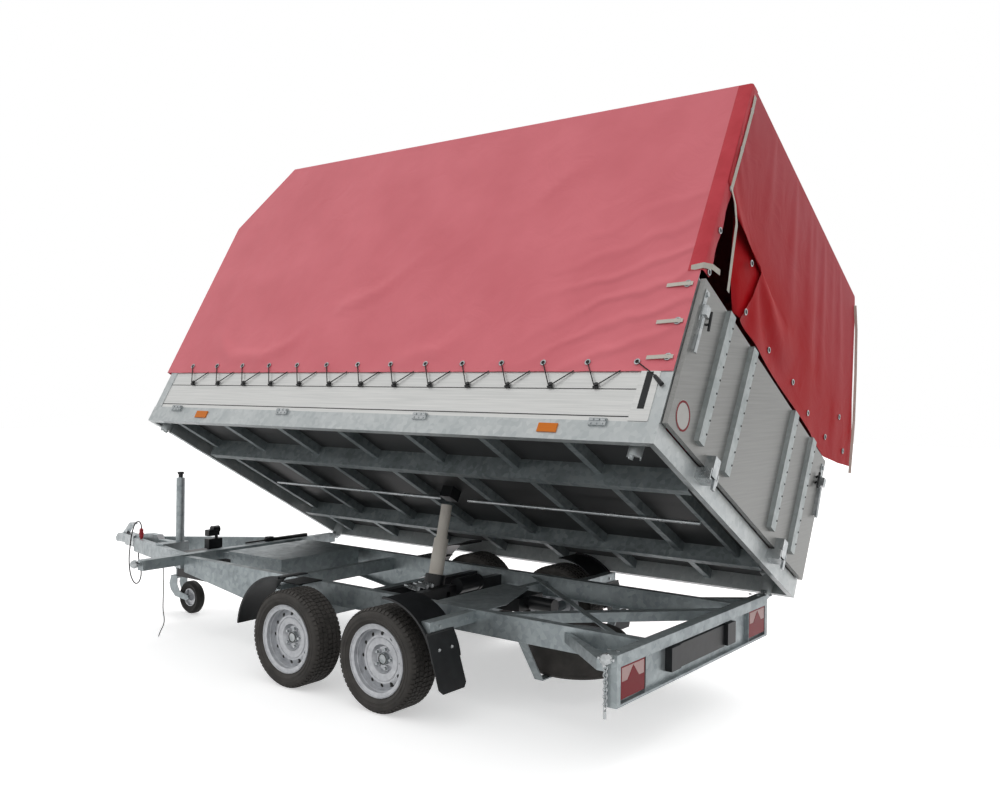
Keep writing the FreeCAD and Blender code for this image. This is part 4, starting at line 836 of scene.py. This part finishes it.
def fold_place(column, row):
    """A grid point of the folded edge."""
    inner_y, inner_z, outer_y, outer_z = FOLD_ROWS[row]
    part = column / FOLD_COLUMNS
    return Vector((0.034 - FOLD_DEEP * part ** 0.6, inner_y + part * (outer_y - inner_y),
                   inner_z + part * (outer_z - inner_z)))


cloth = bmesh.new()
lay_grid(cloth, FOLD_COLUMNS, len(FOLD_ROWS) - 1, fold_place)
bmesh.ops.recalc_face_normals(cloth, faces=cloth.faces)
fold = finish_piece("curtain_fold", cloth, CURTAIN_CLOTH, "bed", BED, smooth=60)
print("curtain fold has", len(fold.data.polygons), "faces")

# %% [markdown]
# White webbing is woven from thick yarn, which shows as fine slanting ribs. One long strap is threaded
# through the strip's eyelets, and its loose end hangs straight down. Three short straps hold the side
# against the corner post, one more crosses the corner, and one hangs at the curtain's right edge.

# %% Webbing straps
YARN_MM = 2.5
YARN_PATCH_MM = 40
SIDE_STRAP_HEIGHTS = (0.812, 0.612, 0.425)
LONG_STRAP = (
    (-0.020, 0.912, 1.960), (-0.022, 0.908, 1.870), (-0.022, 0.907, 1.620), (-0.022, 0.910, 1.385),
    (-0.034, 0.862, 1.330), (-0.038, 0.806, 1.250), (-0.040, 0.780, 1.120), (-0.040, 0.728, 0.915),
)
CORNER_STRAP = ((0.050, HALF + 0.004, 0.898), (-0.012, HALF + 0.010, 0.905), (-0.028, HALF - 0.050, 0.935),
                (-0.030, HALF - 0.125, 0.955))
RIGHT_STRAP = ((-0.016, -0.968, 1.955), (-0.020, -1.056, 1.830), (-0.022, -1.184, 1.580),
               (-0.024, -1.308, 1.300), (-0.026, -1.398, 0.985))

webbing, tree, shader = blank("white_webbing")
place = add(tree, "TexCoord").outputs["Object"]
yarn = add(tree, "TexWave", {"bands_direction": "DIAGONAL"}, Vector=place, Scale=band_scale(YARN_MM))
relief = add(tree, "Bump", Height=yarn.outputs["Fac"], Strength=0.5, Distance=0.0005).outputs["Normal"]
spots = patches(tree, YARN_PATCH_MM)
white = add(tree, "Mix", {"data_type": "RGBA"}, _0=spots, _6=linear("dcd8cd"), _7=linear("c9c4b8"))
feed(tree, shader, Base_Color=white.outputs[2], Roughness=0.7, IOR=1.5, Normal=relief)

straps = bmesh.new()
strap(straps, LONG_STRAP, (0.0, 0.0125, 0.0))
for z in SIDE_STRAP_HEIGHTS:
    route = ((0.150, HALF + 0.004, z - 0.003), (0.060, HALF + 0.010, z - 0.002), (0.018, HALF + 0.006, z))
    strap(straps, route, (0.0, 0.0, 0.010))
strap(straps, CORNER_STRAP, (0.0, 0.004, 0.013))
strap(straps, RIGHT_STRAP, (0.008, 0.002, 0.0))
print("strap faces", len(straps.faces))
finish_piece("webbing_straps", straps, webbing, "bed", BED)

# %% [markdown]
# Eyelets are pressed brass rings with a zinc coat, each with a dark disc behind it as painted shade in
# its hole. The hem has one every quarter of a metre. The curtain's eyelets have to sit on simulated cloth,
# so each one takes the depth of the nearest point of the curtain's mesh.

# %% Eyelets
RING_WIRE = 0.0035
HOLE_DEEP = 0.0012
HEM_HOLE = 0.0125
STRIP_HOLE = 0.0135
CURTAIN_HOLE = 0.014
STRAP_HOLE = 0.016
CLOTH_FACE = HALF + 0.004
EYELET_Z = COVER_HEM + 0.046
STRIP_EYELETS = (0.905, 1.140, 1.385, 1.625, 1.870)
CURTAIN_EYELETS = ((0.480, 0.965), (0.526, 1.223), (0.102, 0.976), (-0.277, 1.001), (-0.565, 0.964),
                   (-0.908, 0.988), (-1.224, 1.053), (-1.058, 1.202))
CLOTH_REACH = 0.055
rings = bmesh.new()
holes = bmesh.new()


def eyelet(middle, axis, radius):
    """A pressed ring with a dark disc of painted shade behind it."""
    ring(rings, middle, axis, radius, RING_WIRE, sides=20, around=6)
    back = Vector(middle) - 0.001 * Vector(axis)
    bar(holes, back, back + HOLE_DEEP * Vector(axis), radius, sides=16)


for side in (1, -1):
    for x in EYELETS:
        eyelet((x, side * CLOTH_FACE, EYELET_Z), (0, side, 0), HEM_HOLE)
for z in STRIP_EYELETS:
    eyelet((-0.019, 0.907, z), (-1, 0, 0), STRIP_HOLE)
for z in SIDE_STRAP_HEIGHTS:
    eyelet((0.045, CLOTH_FACE, z), (0, 1, 0), STRAP_HOLE)
curtain_points = [BED.inverted() @ vert.co for vert in curtain.data.vertices]
for y, z in CURTAIN_EYELETS:
    nearest = min(curtain_points, key=lambda point: math.hypot(point.y - y, point.z - z))
    if math.hypot(nearest.y - y, nearest.z - z) < CLOTH_REACH:
        eyelet((nearest.x - 0.004, y, z), (-1, 0, 0), CURTAIN_HOLE)
print("eyelet faces", len(rings.faces))
finish_piece("eyelet_rings", rings, BRIGHT, "bed", BED, smooth=50)
finish_piece("eyelet_holes", holes, RUBBER, "bed", BED)

# %% [markdown]
# A black elastic runs from each eyelet down round a hook on the board and up again to the hem. Each
# hook is a button on a small foot. The last elastic ends in a black bush at the corner post.

# %% Hooks and lacing
HOOK_Z = 0.279
LACE = 0.0028
BUSH_START = Vector((0.083, HALF + 0.002, 0.328))
BUSH_END = Vector((0.036, HALF + 0.004, 0.284))
hooks = bmesh.new()
lacing = bmesh.new()
for side in (1, -1):
    face, out = side * (HALF - 0.008), side * (HALF + 0.006)
    for x in HOOKS:
        side_block(hooks, (x - 0.014, x + 0.014), (face, out), (HOOK_Z - 0.014, HOOK_Z - 0.003), 0.003)
        bar(hooks, (x, face, HOOK_Z), (x, out, HOOK_Z + 0.006), 0.008, sides=12, end_radius=0.012)
        bar(lacing, (x + 0.080, out, EYELET_Z), (x + 0.008, out, HOOK_Z), LACE, sides=8)
        hem_point = (x - 0.105, side * (HALF - 0.002), COVER_HEM + 0.004)
        bar(lacing, (x - 0.008, out, HOOK_Z), hem_point, LACE, sides=8)
bar(lacing, (EYELETS[0], HALF + 0.006, EYELET_Z), (0.081, HALF - 0.002, 0.330), LACE, sides=8)
bar(hooks, BUSH_START, BUSH_END, 0.009, sides=12, end_radius=0.011)
print("hook faces", len(hooks.faces), "lacing faces", len(lacing.faces))
finish_piece("lacing_hooks", hooks, BLACK, "bed", BED, smooth=40)
finish_piece("elastic_lacing", lacing, RUBBER, "bed", BED, smooth=60)

# %% [markdown]
# The side boards are stacked from rolled sections, so dark joints run along them, and each board ends
# in a plain frame with a slot. Cut grooves would be truer, but the frame's boards stay as they came, and
# the joints are only 4 mm wide. So they are thin dark blocks that stand a hair proud of the board.

# %% Board joints and end frames
JOINTS = ((0.266, 0.0022), (0.128, 0.0025))
joints = bmesh.new()
frames = bmesh.new()
for side in (1, -1):
    board, proud = side * (HALF - 0.008), side * (HALF - 0.0072)
    for z, half in JOINTS:
        side_block(joints, (0.160, BED_LENGTH - 0.062), (board, proud), (z - half, z + half))
    side_block(frames, (0.060, 0.158), (side * (HALF - 0.012), side * (HALF - 0.001)),
               (EDGE_HEIGHT + 0.004, COVER_HEM + 0.001), 0.001)
    side_block(joints, (0.094, 0.128), (side * (HALF - 0.003), side * (HALF - 0.0006)), (0.165, 0.352))
print("joint faces", len(joints.faces), "frame faces", len(frames.faces))
finish_piece("board_joints", joints, BLACK, "bed", BED)
finish_piece("board_end_frames", frames, FINISH["board"], "bed", BED)

# %% [markdown]
# Four folding hinges join each board to the edge profile. Their leaves are in the frame already. What
# is added is a row of three knuckles and the three rivets under them, as short bars.

# %% Hinge knuckles
HINGES = (0.300, 1.350, 2.400, BED_LENGTH - 0.254)
HINGE_PITCH = 0.030
KNUCKLE_HALF = 0.012
KNUCKLE_Z = EDGE_HEIGHT - 0.002
RIVET_Z = EDGE_HEIGHT - 0.020
knuckles = bmesh.new()
for side in (1, -1):
    outer, rivet_in, rivet_out = side * (HALF + 0.012), side * (HALF + 0.011), side * (HALF + 0.016)
    for middle in HINGES:
        for x in (middle - HINGE_PITCH, middle, middle + HINGE_PITCH):
            bar(knuckles, (x - KNUCKLE_HALF, outer, KNUCKLE_Z), (x + KNUCKLE_HALF, outer, KNUCKLE_Z), 0.006)
            bar(knuckles, (x, rivet_in, RIVET_Z), (x, rivet_out, RIVET_Z), 0.004, sides=8)
print("hinge faces", len(knuckles.faces))
finish_piece("board_hinge_knuckles", knuckles, BRIGHT, "bed", BED, smooth=50)

# %% [markdown]
# The gate's four ribs are riveted to its sheet, so a line of domed heads runs along each. A short cone
# with a smaller outer end is enough for a head of this size.

# %% Gate rivets
GATE_FACE = -0.031
RIB_FACE = -0.057
RIBS = (-0.650, -0.330, 0.330, 0.650)
RIVETS_UP = 9
RIVET_PITCH = 0.070
LOWEST_RIVET = 0.215
rivets = bmesh.new()
for rib in RIBS:
    y = rib - 0.025
    for step in range(RIVETS_UP):
        z = LOWEST_RIVET + RIVET_PITCH * step
        bar(rivets, (RIB_FACE + 0.001, y, z), (RIB_FACE - 0.0025, y, z), 0.0065, sides=10, end_radius=0.004)
print("rivets", RIVETS_UP * len(RIBS))
finish_piece("gate_rivets", rivets, BLACK, "gate", BED, smooth=40)

# %% [markdown]
# A drop latch sits in each upper corner of the gate: a plate, a lever that hangs from it and a short
# pin. Beside it are two black rope hooks. At this distance a block and a few bars read as both.

# %% Gate latches and rope hooks
latch = bmesh.new()
catch = bmesh.new()
for side in (1, -1):
    y = side * (HALF - 0.051)
    block(latch, (-0.036, y - 0.016, WALL_TOP - 0.205), (GATE_FACE, y + 0.016, WALL_TOP - 0.040), 0.003)
    bar(latch, (-0.048, y, WALL_TOP - 0.190), (-0.052, y + side * 0.004, WALL_TOP - 0.372), 0.008)
    bar(latch, (-0.030, y, WALL_TOP - 0.062), (-0.044, y, WALL_TOP - 0.062), 0.012, sides=16)
    y = side * (HALF - 0.110)
    for top in (WALL_TOP, WALL_TOP - 0.035):
        bar(catch, (GATE_FACE, y, top - 0.150), (-0.050, y - side * 0.012, top - 0.145), 0.006, sides=10)
    bar(catch, (-0.048, y, WALL_TOP - 0.120), (-0.052, y - side * 0.006, WALL_TOP - 0.215), 0.007, sides=10)
print("latch faces", len(latch.faces), "rope hook faces", len(catch.faces))
finish_piece("gate_latch_levers", latch, BRIGHT, "gate", BED, smooth=40)
finish_piece("gate_rope_hooks", catch, BLACK, "gate", BED, smooth=40)

# %% [markdown]
# The round sign on the gate is left blank: a disc of pale vinyl with a red ring round its edge. The
# ring is a low square outline on the lathe, turned from the y axis to the gate's own direction.

# %% Blank sign
SIGN_PLACE = Vector((GATE_FACE, 0.829, 0.199))
SIGN_RADIUS = 0.070
RING_INNER = SIGN_RADIUS - 0.011
RING_OUTER = SIGN_RADIUS - 0.001
RING_HIGH = 0.0018
VINYL_PATCH_MM = 30

pale, tree, shader = blank("pale_sign_vinyl")
spots = patches(tree, VINYL_PATCH_MM)
vinyl = add(tree, "Mix", {"data_type": "RGBA"}, _0=spots, _6=linear("d6d4d0"), _7=linear("cac7c2"))
feed(tree, shader, Base_Color=vinyl.outputs[2], Roughness=0.4)
disc = bmesh.new()
bar(disc, SIGN_PLACE, SIGN_PLACE - Vector((0.001, 0, 0)), SIGN_RADIUS, sides=48)
finish_piece("blank_sign", disc, pale, "gate", BED)

edge = bmesh.new()
outline = ((RING_INNER, 0.0), (RING_INNER, RING_HIGH), (RING_OUTER, RING_HIGH), (RING_OUTER, 0.0))
lathe(edge, outline, 48, (0, 0, 0))
facing = Matrix.Translation(SIGN_PLACE) @ Matrix.Rotation(math.pi / 2, 4, "Z")
bmesh.ops.transform(edge, verts=edge.verts, matrix=facing)
print("sign ring faces", len(edge.faces))
finish_piece("sign_ring", edge, FINISH["red_lens"], "gate", BED, smooth=40)

# %% [markdown]
# The road tyres have a worn summer tread: three rows of blocks, two shoulder rows and fine ribs on the
# sidewalls. The carcass is one outline on the lathe, and small cubes that are turned round it make the
# blocks. The base of the grooves is 6 mm under the tread, so the tyre keeps its size.

# %% Outline of a tyre
WHEEL_OUT = HALF - 0.0605
TYRE_WIDE = 0.195
TYRE_RADIUS = 0.2625
AXLES = {"front": 2.116, "rear": 1.441}
HALF_PROFILE = (
    # radius, distance from the middle of the tyre
    (0.1655, 0.0755), (0.185, 0.0795), (0.194, 0.0885), (0.204, 0.0950), (0.2045, 0.0972), (0.2085, 0.0972),
    (0.209, 0.0955), (0.221, 0.0958), (0.2215, 0.0973), (0.2255, 0.0973), (0.226, 0.0955), (0.238, 0.0940),
    (0.2455, 0.0895), (0.2520, 0.0815), (0.2558, 0.0720), (0.2566, 0.0600),
)
PROFILE = [(radius, -along) for radius, along in HALF_PROFILE] + list(reversed(HALF_PROFILE))
WHEELS = []
for end, x in AXLES.items():
    for word, side in (("left", 1), ("right", -1)):
        WHEELS.append((end + "_" + word, x, side))
print("tyre outline", len(PROFILE), "points; wheels", [name for name, x, side in WHEELS])

# %% [markdown]
# A tread could be cut into the tyre, but the grooves are narrow and there are hundreds of them. Blocks
# that stand on a plain carcass look the same. Each is turned to its place round the tyre by a matrix,
# and the shoulder blocks lean outwards.

# %% Tyres with tread
TREAD_ROWS = (
    # distance from the middle, width, skew in degrees
    (0.0, 0.026, 8), (0.032, 0.026, -14), (-0.032, 0.026, 14), (0.061, 0.020, 4), (-0.061, 0.020, -4),
)
BLOCKS_AROUND = 62
SHOULDER = Matrix.Diagonal((0.018, 0.019, 0.006, 1))


def tread_block(shape, middle, step, along, depth, lean):
    """One block of the tread, at a step round the tyre, some way along its axle and under its radius."""
    turn = Matrix.Rotation(2 * math.pi * step / BLOCKS_AROUND, 4, "Y")
    place = Matrix.Translation(middle) @ turn @ Matrix.Translation((0, along, TYRE_RADIUS - depth)) @ lean
    bmesh.ops.create_cube(shape, size=1.0, matrix=place)


def tyre(name, x, side):
    """A tyre with its tread, in place of the plain one."""
    middle = Vector((x, side * (WHEEL_OUT - TYRE_WIDE / 2), TYRE_RADIUS))
    shape = bmesh.new()
    lathe(shape, PROFILE, 96, middle)
    for row, (along, wide, skew) in enumerate(TREAD_ROWS):
        lean = Matrix.Rotation(math.radians(skew), 4, "Z") @ Matrix.Diagonal((0.0205, wide, 0.0076, 1))
        for step in range(BLOCKS_AROUND):
            tread_block(shape, middle, step + 0.5 * (row % 2), along, 0.0042, lean)
    for edge in (1, -1):
        lean = Matrix.Rotation(-edge * math.radians(38), 4, "X") @ SHOULDER
        for step in range(BLOCKS_AROUND):
            tread_block(shape, middle, step + 0.25, edge * 0.0805, 0.0088, lean)
    piece = finish_piece("tyre_tread_" + name, shape, FINISH["tyre"], "wheel_" + name, smooth=35)
    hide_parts("tyre_" + name)
    return piece


tyres = [tyre(name, x, side) for name, x, side in WHEELS]
print("faces of one tyre", len(tyres[0].data.polygons))

# %% [markdown]
# Each steel wheel has a stepped rim, five bolts in pressed seats, a hub cap with a dark ring and a
# short valve. The round openings in its disc look dark, because the brake drum behind them lies in
# shade, so flat dark discs of painted shade stand for them.

# %% Wheel details
RIM_RINGS = (
    # radius, distance outwards, radius of the bead, steps round
    (0.1790, 0.0835, 0.0030, 64), (0.1695, 0.0790, 0.0022, 64), (0.1560, 0.0560, 0.0022, 64),
    (0.108, 0.0420, 0.0026, 48),
)
CAP = ((0.0310, 0.0165), (0.0312, 0.0300), (0.0295, 0.0345), (0.0240, 0.0360), (0.0, 0.0365))
BOLT_CIRCLE = 0.050
BOLT_COUNT = 5
FIRST_BOLT = 0.6
OPENING_CIRCLE = 0.131
OPENING_COUNT = 12
VALVE_TURN = 4.1


def wheel_details(name, x, side):
    """The small parts of one wheel, as three pieces by finish."""
    silver, bright, dark = bmesh.new(), bmesh.new(), bmesh.new()
    middle = Vector((x, side * (WHEEL_OUT - TYRE_WIDE / 2), TYRE_RADIUS))

    def spot(radius, turn, out):
        """A point of the wheel: radius and angle in its plane, and how far outwards."""
        return middle + Vector((radius * math.cos(turn), side * out, radius * math.sin(turn)))

    for radius, out, bead, steps in RIM_RINGS:
        ring(silver, spot(0, 0, out), (0, side, 0), radius, bead, sides=steps, around=6)
    for step in range(BOLT_COUNT):
        turn = 2 * math.pi * step / BOLT_COUNT + FIRST_BOLT
        bar(silver, spot(BOLT_CIRCLE, turn, 0.015), spot(BOLT_CIRCLE, turn, 0.026), 0.0165, 20, 0.012)
        bar(bright, spot(BOLT_CIRCLE, turn, 0.024), spot(BOLT_CIRCLE, turn, 0.039), 0.0088, 6, 0.0082)
    # Painted shade: flat dark discs in the openings.
    for step in range(OPENING_COUNT):
        turn = 2 * math.pi * step / OPENING_COUNT
        bar(dark, spot(OPENING_CIRCLE, turn, 0.0345), spot(OPENING_CIRCLE, turn, 0.0355), 0.0104, 20)
    lathe(bright, [(radius, side * out) for radius, out in CAP], 32, middle)
    ring(dark, spot(0, 0, 0.0355), (0, side, 0), 0.0255, 0.0028, sides=32, around=6)
    bar(dark, spot(0.146, VALVE_TURN, 0.036), spot(0.140, VALVE_TURN, 0.062), 0.0045, 10, 0.0035)
    finish_piece("wheel_seats_" + name, silver, FINISH["wheel_paint"], "wheel_" + name, smooth=40)
    finish_piece("wheel_bolts_" + name, bright, BRIGHT, "wheel_" + name, smooth=40)
    finish_piece("wheel_openings_" + name, dark, RUBBER, "wheel_" + name, smooth=40)


for name, x, side in WHEELS:
    wheel_details(name, x, side)
print("wheel details on", len(WHEELS), "wheels")

# %% [markdown]
# Each tail lamp is a red lens whose upper part is clear, with a red triangle in front of it. A single
# flat face could draw the triangle, but a face without thickness can turn black from behind, so its
# three points are extruded by a few millimetres.

# %% Tail lamps
LAMP_FACE = 0.102
LAMP_TOP = 0.451
LAMP_MIDDLE = 0.386
LAMP_INNER = HALF - 0.3695
LAMP_OUTER = HALF - 0.1775
TRIANGLE_HALF = 0.052
TRIANGLE_THICK = 0.0042
clear = bmesh.new()
signal = bmesh.new()
for side in (1, -1):
    side_block(clear, (LAMP_FACE - 0.0012, LAMP_FACE + 0.003), (side * LAMP_INNER, side * LAMP_OUTER),
               (LAMP_MIDDLE, LAMP_TOP - 0.006), 0.001)
    middle = side * (LAMP_INNER + LAMP_OUTER) / 2
    corners = ((middle - TRIANGLE_HALF, LAMP_MIDDLE - 0.002), (middle + TRIANGLE_HALF, LAMP_MIDDLE - 0.002),
               (middle, LAMP_TOP - 0.010))
    prism(signal, [(LAMP_FACE + 0.001, y, z) for y, z in corners], (-TRIANGLE_THICK, 0, 0))
print("triangle faces", len(signal.faces))
finish_piece("tail_lamp_clear", clear, CLEAR_LENS, "chassis")
finish_piece("tail_lamp_triangle", signal, FINISH["red_lens"], "chassis")

# %% [markdown]
# Small bright fasteners show all over the frame: bolts on the mud flaps and the guards, bolts at the
# tail and fittings on the black ram cradle. Each is a bar with six sides. The flap hangs at a slant, so
# its lower bolts stand further back.

# %% Bolts and fittings
FLAP_X = 1.095
FLAP_TOP = 0.445
FLAP_SLANT = 90 / 265
FLAP_BOLT_Z = 0.372
GUARD_BOLT_Z = 0.475
CRADLE_X = 1.760
bolts = bmesh.new()
for side in (1, -1):
    for y in (0.745, 0.838):
        x = FLAP_X - (FLAP_TOP - FLAP_BOLT_Z) * FLAP_SLANT
        bar(bolts, (x - 0.006, side * y, FLAP_BOLT_Z), (x - 0.011, side * y, FLAP_BOLT_Z - 0.002), 0.009, 6)
    for y in (0.590, 0.800):
        bar(bolts, (FLAP_X, side * y, GUARD_BOLT_Z), (FLAP_X - 0.006, side * y, GUARD_BOLT_Z), 0.008, 6)
    for x in (0.130, 0.175):
        bar(bolts, (x, side * 0.760, 0.508), (x, side * 0.760, 0.513), 0.009, 6)
for y in (0.120, 0.165, 0.240):
    joint = Vector((CRADLE_X + 0.045, y, 0.492))
    bar(bolts, (CRADLE_X - 0.030, y, 0.486), joint, 0.013, 6)
    bar(bolts, joint, (CRADLE_X + 0.075, y, 0.494), 0.009, 12)
print("bolt faces", len(bolts.faces))
finish_piece("frame_bolts", bolts, BRIGHT, "chassis", smooth=30)

# %% [markdown]
# The jockey wheel is wound up and down from the top of its tube, where a black knob covers the spindle.
# Two short bars that widen upwards are its neck and its head.

# %% Jockey knob
JOCKEY = Vector((4.150, 0.118, 0.960))
KNOB_PARTS = (
    # bottom, top, radius, sides, top radius
    (0.004, 0.030, 0.0155, 20, 0.0165), (0.026, 0.0425, 0.0215, 24, 0.0245),
)
knob = bmesh.new()
for low, high, radius, sides, top_radius in KNOB_PARTS:
    bar(knob, JOCKEY + Vector((0, 0, low)), JOCKEY + Vector((0, 0, high)), radius, sides, top_radius)
print("knob faces", len(knob.faces))
finish_piece("jockey_knob_cap", knob, BLACK, "chassis", smooth=40)

# %% [markdown]
# The trailer's lead leaves the drawbar in an arch, drops to a loop and comes back to its gland, and the
# breakaway line hangs from the front crossbeam. A chain of straight bars would show its corners, so
# each one is a smooth spline near its route's points, with a round bevel for its thickness.

# %% Routes of the two cords
PLUG_X = 4.687
GLAND_X = 4.752
LEAD = (
    (PLUG_X, 0.085, 0.540), (PLUG_X, 0.085, 0.568), (PLUG_X + 0.035, 0.084, 0.592),
    (PLUG_X + 0.085, 0.082, 0.574),
    (PLUG_X + 0.119, 0.080, 0.524), (PLUG_X + 0.146, 0.078, 0.457), (PLUG_X + 0.163, 0.076, 0.386),
    (PLUG_X + 0.179, 0.074, 0.300), (PLUG_X + 0.177, 0.072, 0.216), (PLUG_X + 0.151, 0.071, 0.140),
    (PLUG_X + 0.098, 0.070, 0.098), (PLUG_X + 0.048, 0.068, 0.120), (PLUG_X + 0.023, 0.067, 0.175),
    (PLUG_X + 0.031, 0.066, 0.236), (GLAND_X, 0.066, 0.290), (GLAND_X, 0.066, 0.345),
)
LINE_TOP = Vector((3.560, 0.655, 0.452))
LINE_MM = (
    # across, up from its top
    (0, 0), (0, -67), (-4, -140), (-1, -212), (0, -278), (-12, -334), (-8, -374), (20, -416), (30, -444),
)
LINE = [LINE_TOP + Vector((0, across / 1000, upward / 1000)) for across, upward in LINE_MM]
print("points of the lead", len(LEAD), "and of the line", len(LINE))

# %% [markdown]
# Both cords are rubber-coated and round. The spline stays inside the corners of its route, as a stiff
# cord does, and reaches its first and last point.

# %% Lead and breakaway line
def cord_piece(name, points, diameter):
    """A round rubber cord along a spline."""
    curve = bpy.data.curves.new(name, "CURVE")
    curve.dimensions = "3D"
    spline = curve.splines.new("NURBS")
    spline.points.add(len(points) - 1)
    for point, place in zip(spline.points, points):
        point.co = (*(SHOP @ Vector(place)), 1.0)
    spline.order_u = 3
    spline.use_endpoint_u = True
    curve.resolution_u = 8
    curve.bevel_depth = diameter / 2
    curve.bevel_resolution = 4
    curve.materials.append(RUBBER)
    piece = bpy.data.objects.new(name, curve)
    bpy.context.collection.objects.link(piece)
    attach(piece, "chassis")
    return piece


lead = cord_piece("trailer_lead", LEAD, 0.009)
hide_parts("plug_cable")
line = cord_piece("breakaway_line", LINE, 0.006)
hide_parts("lanyard")
print("cords", lead.name, line.name)

# %% [markdown]
# The studio is a pale floor under an even sky. The sky is white wherever the camera, a mirror-like
# surface or glass looks at it. For the light that it gives it is brighter overhead and dark below the
# horizon, as on the paved yard where such a trailer stands, so the bed's underside stays dark.

# %% World
SKY_LIGHT = 0.85
YARD_LIGHT = 0.05


def looked_at(tree):
    """The light path's outputs, and 1 where the camera or a mirror-like surface looks, else 0."""
    rays = add(tree, "LightPath").outputs
    camera_ray, glossy_ray = rays["Is Camera Ray"], rays["Is Glossy Ray"]
    return rays, add(tree, "Math", {"operation": "MAXIMUM"}, _0=camera_ray, _1=glossy_ray).outputs[0]


scene = bpy.context.scene
scene.view_settings.view_transform = "Standard"
world = bpy.data.worlds.new("studio")
scene.world = world
world.use_nodes = True
tree = world.node_tree
rays, seen = looked_at(tree)
seen = add(tree, "Math", {"operation": "MAXIMUM"}, _0=seen, _1=rays["Is Transmission Ray"]).outputs[0]
height = add(tree, "SeparateXYZ", Vector=add(tree, "TexCoord").outputs["Generated"]).outputs["Z"]
sky = add(tree, "MapRange", _0=height, _1=-0.05, _2=0.05, _3=YARD_LIGHT, _4=SKY_LIGHT).outputs["Result"]
strength = add(tree, "Mix", {"data_type": "FLOAT"}, _0=seen, _2=sky, _3=1.0).outputs[0]
feed(tree, tree.nodes["Background"], Color=(1, 1, 1, 1), Strength=strength)
print("sky", SKY_LIGHT, "yard", YARD_LIGHT)

# %% [markdown]
# The floor is lifted towards white for the camera and for mirrors, and keeps the trailer's shadow. It
# gives no light back, because the world's lower half already stands for the yard's.

# %% Floor
FLOOR_LIFT = 0.45
material, tree, shader = blank("pale_floor")
rays, seen = looked_at(tree)
lift = add(tree, "Math", {"operation": "MULTIPLY"}, _0=seen, _1=FLOOR_LIFT).outputs[0]
feed(tree, shader, Base_Color=linear("f4f4f4"), Roughness=0.9, Emission_Color=(1, 1, 1, 1),
     Emission_Strength=lift)
bpy.ops.mesh.primitive_plane_add(size=60, location=(0, 0, GROUND))
floor = bpy.context.object
floor.name = "floor"
floor.data.materials.append(material)
floor.visible_diffuse = False
print("floor at", round(floor.location.z, 3))

# %% [markdown]
# The day was hazy, so the sun is a wide soft lamp. It stands high on the trailer's far side, so the
# near side is lit by the sky, and a soft shadow falls under the bed and towards the camera.

# %% Key light
sun = bpy.data.lights.new("hazy_sun", "SUN")
sun.energy = 1.1
sun.angle = math.radians(35)
key = bpy.data.objects.new("hazy_sun", sun)
key.rotation_euler = (math.radians(38), math.radians(-14), math.radians(20))
bpy.context.collection.objects.link(key)
print("lamps", [lamp.name for lamp in bpy.data.lights])
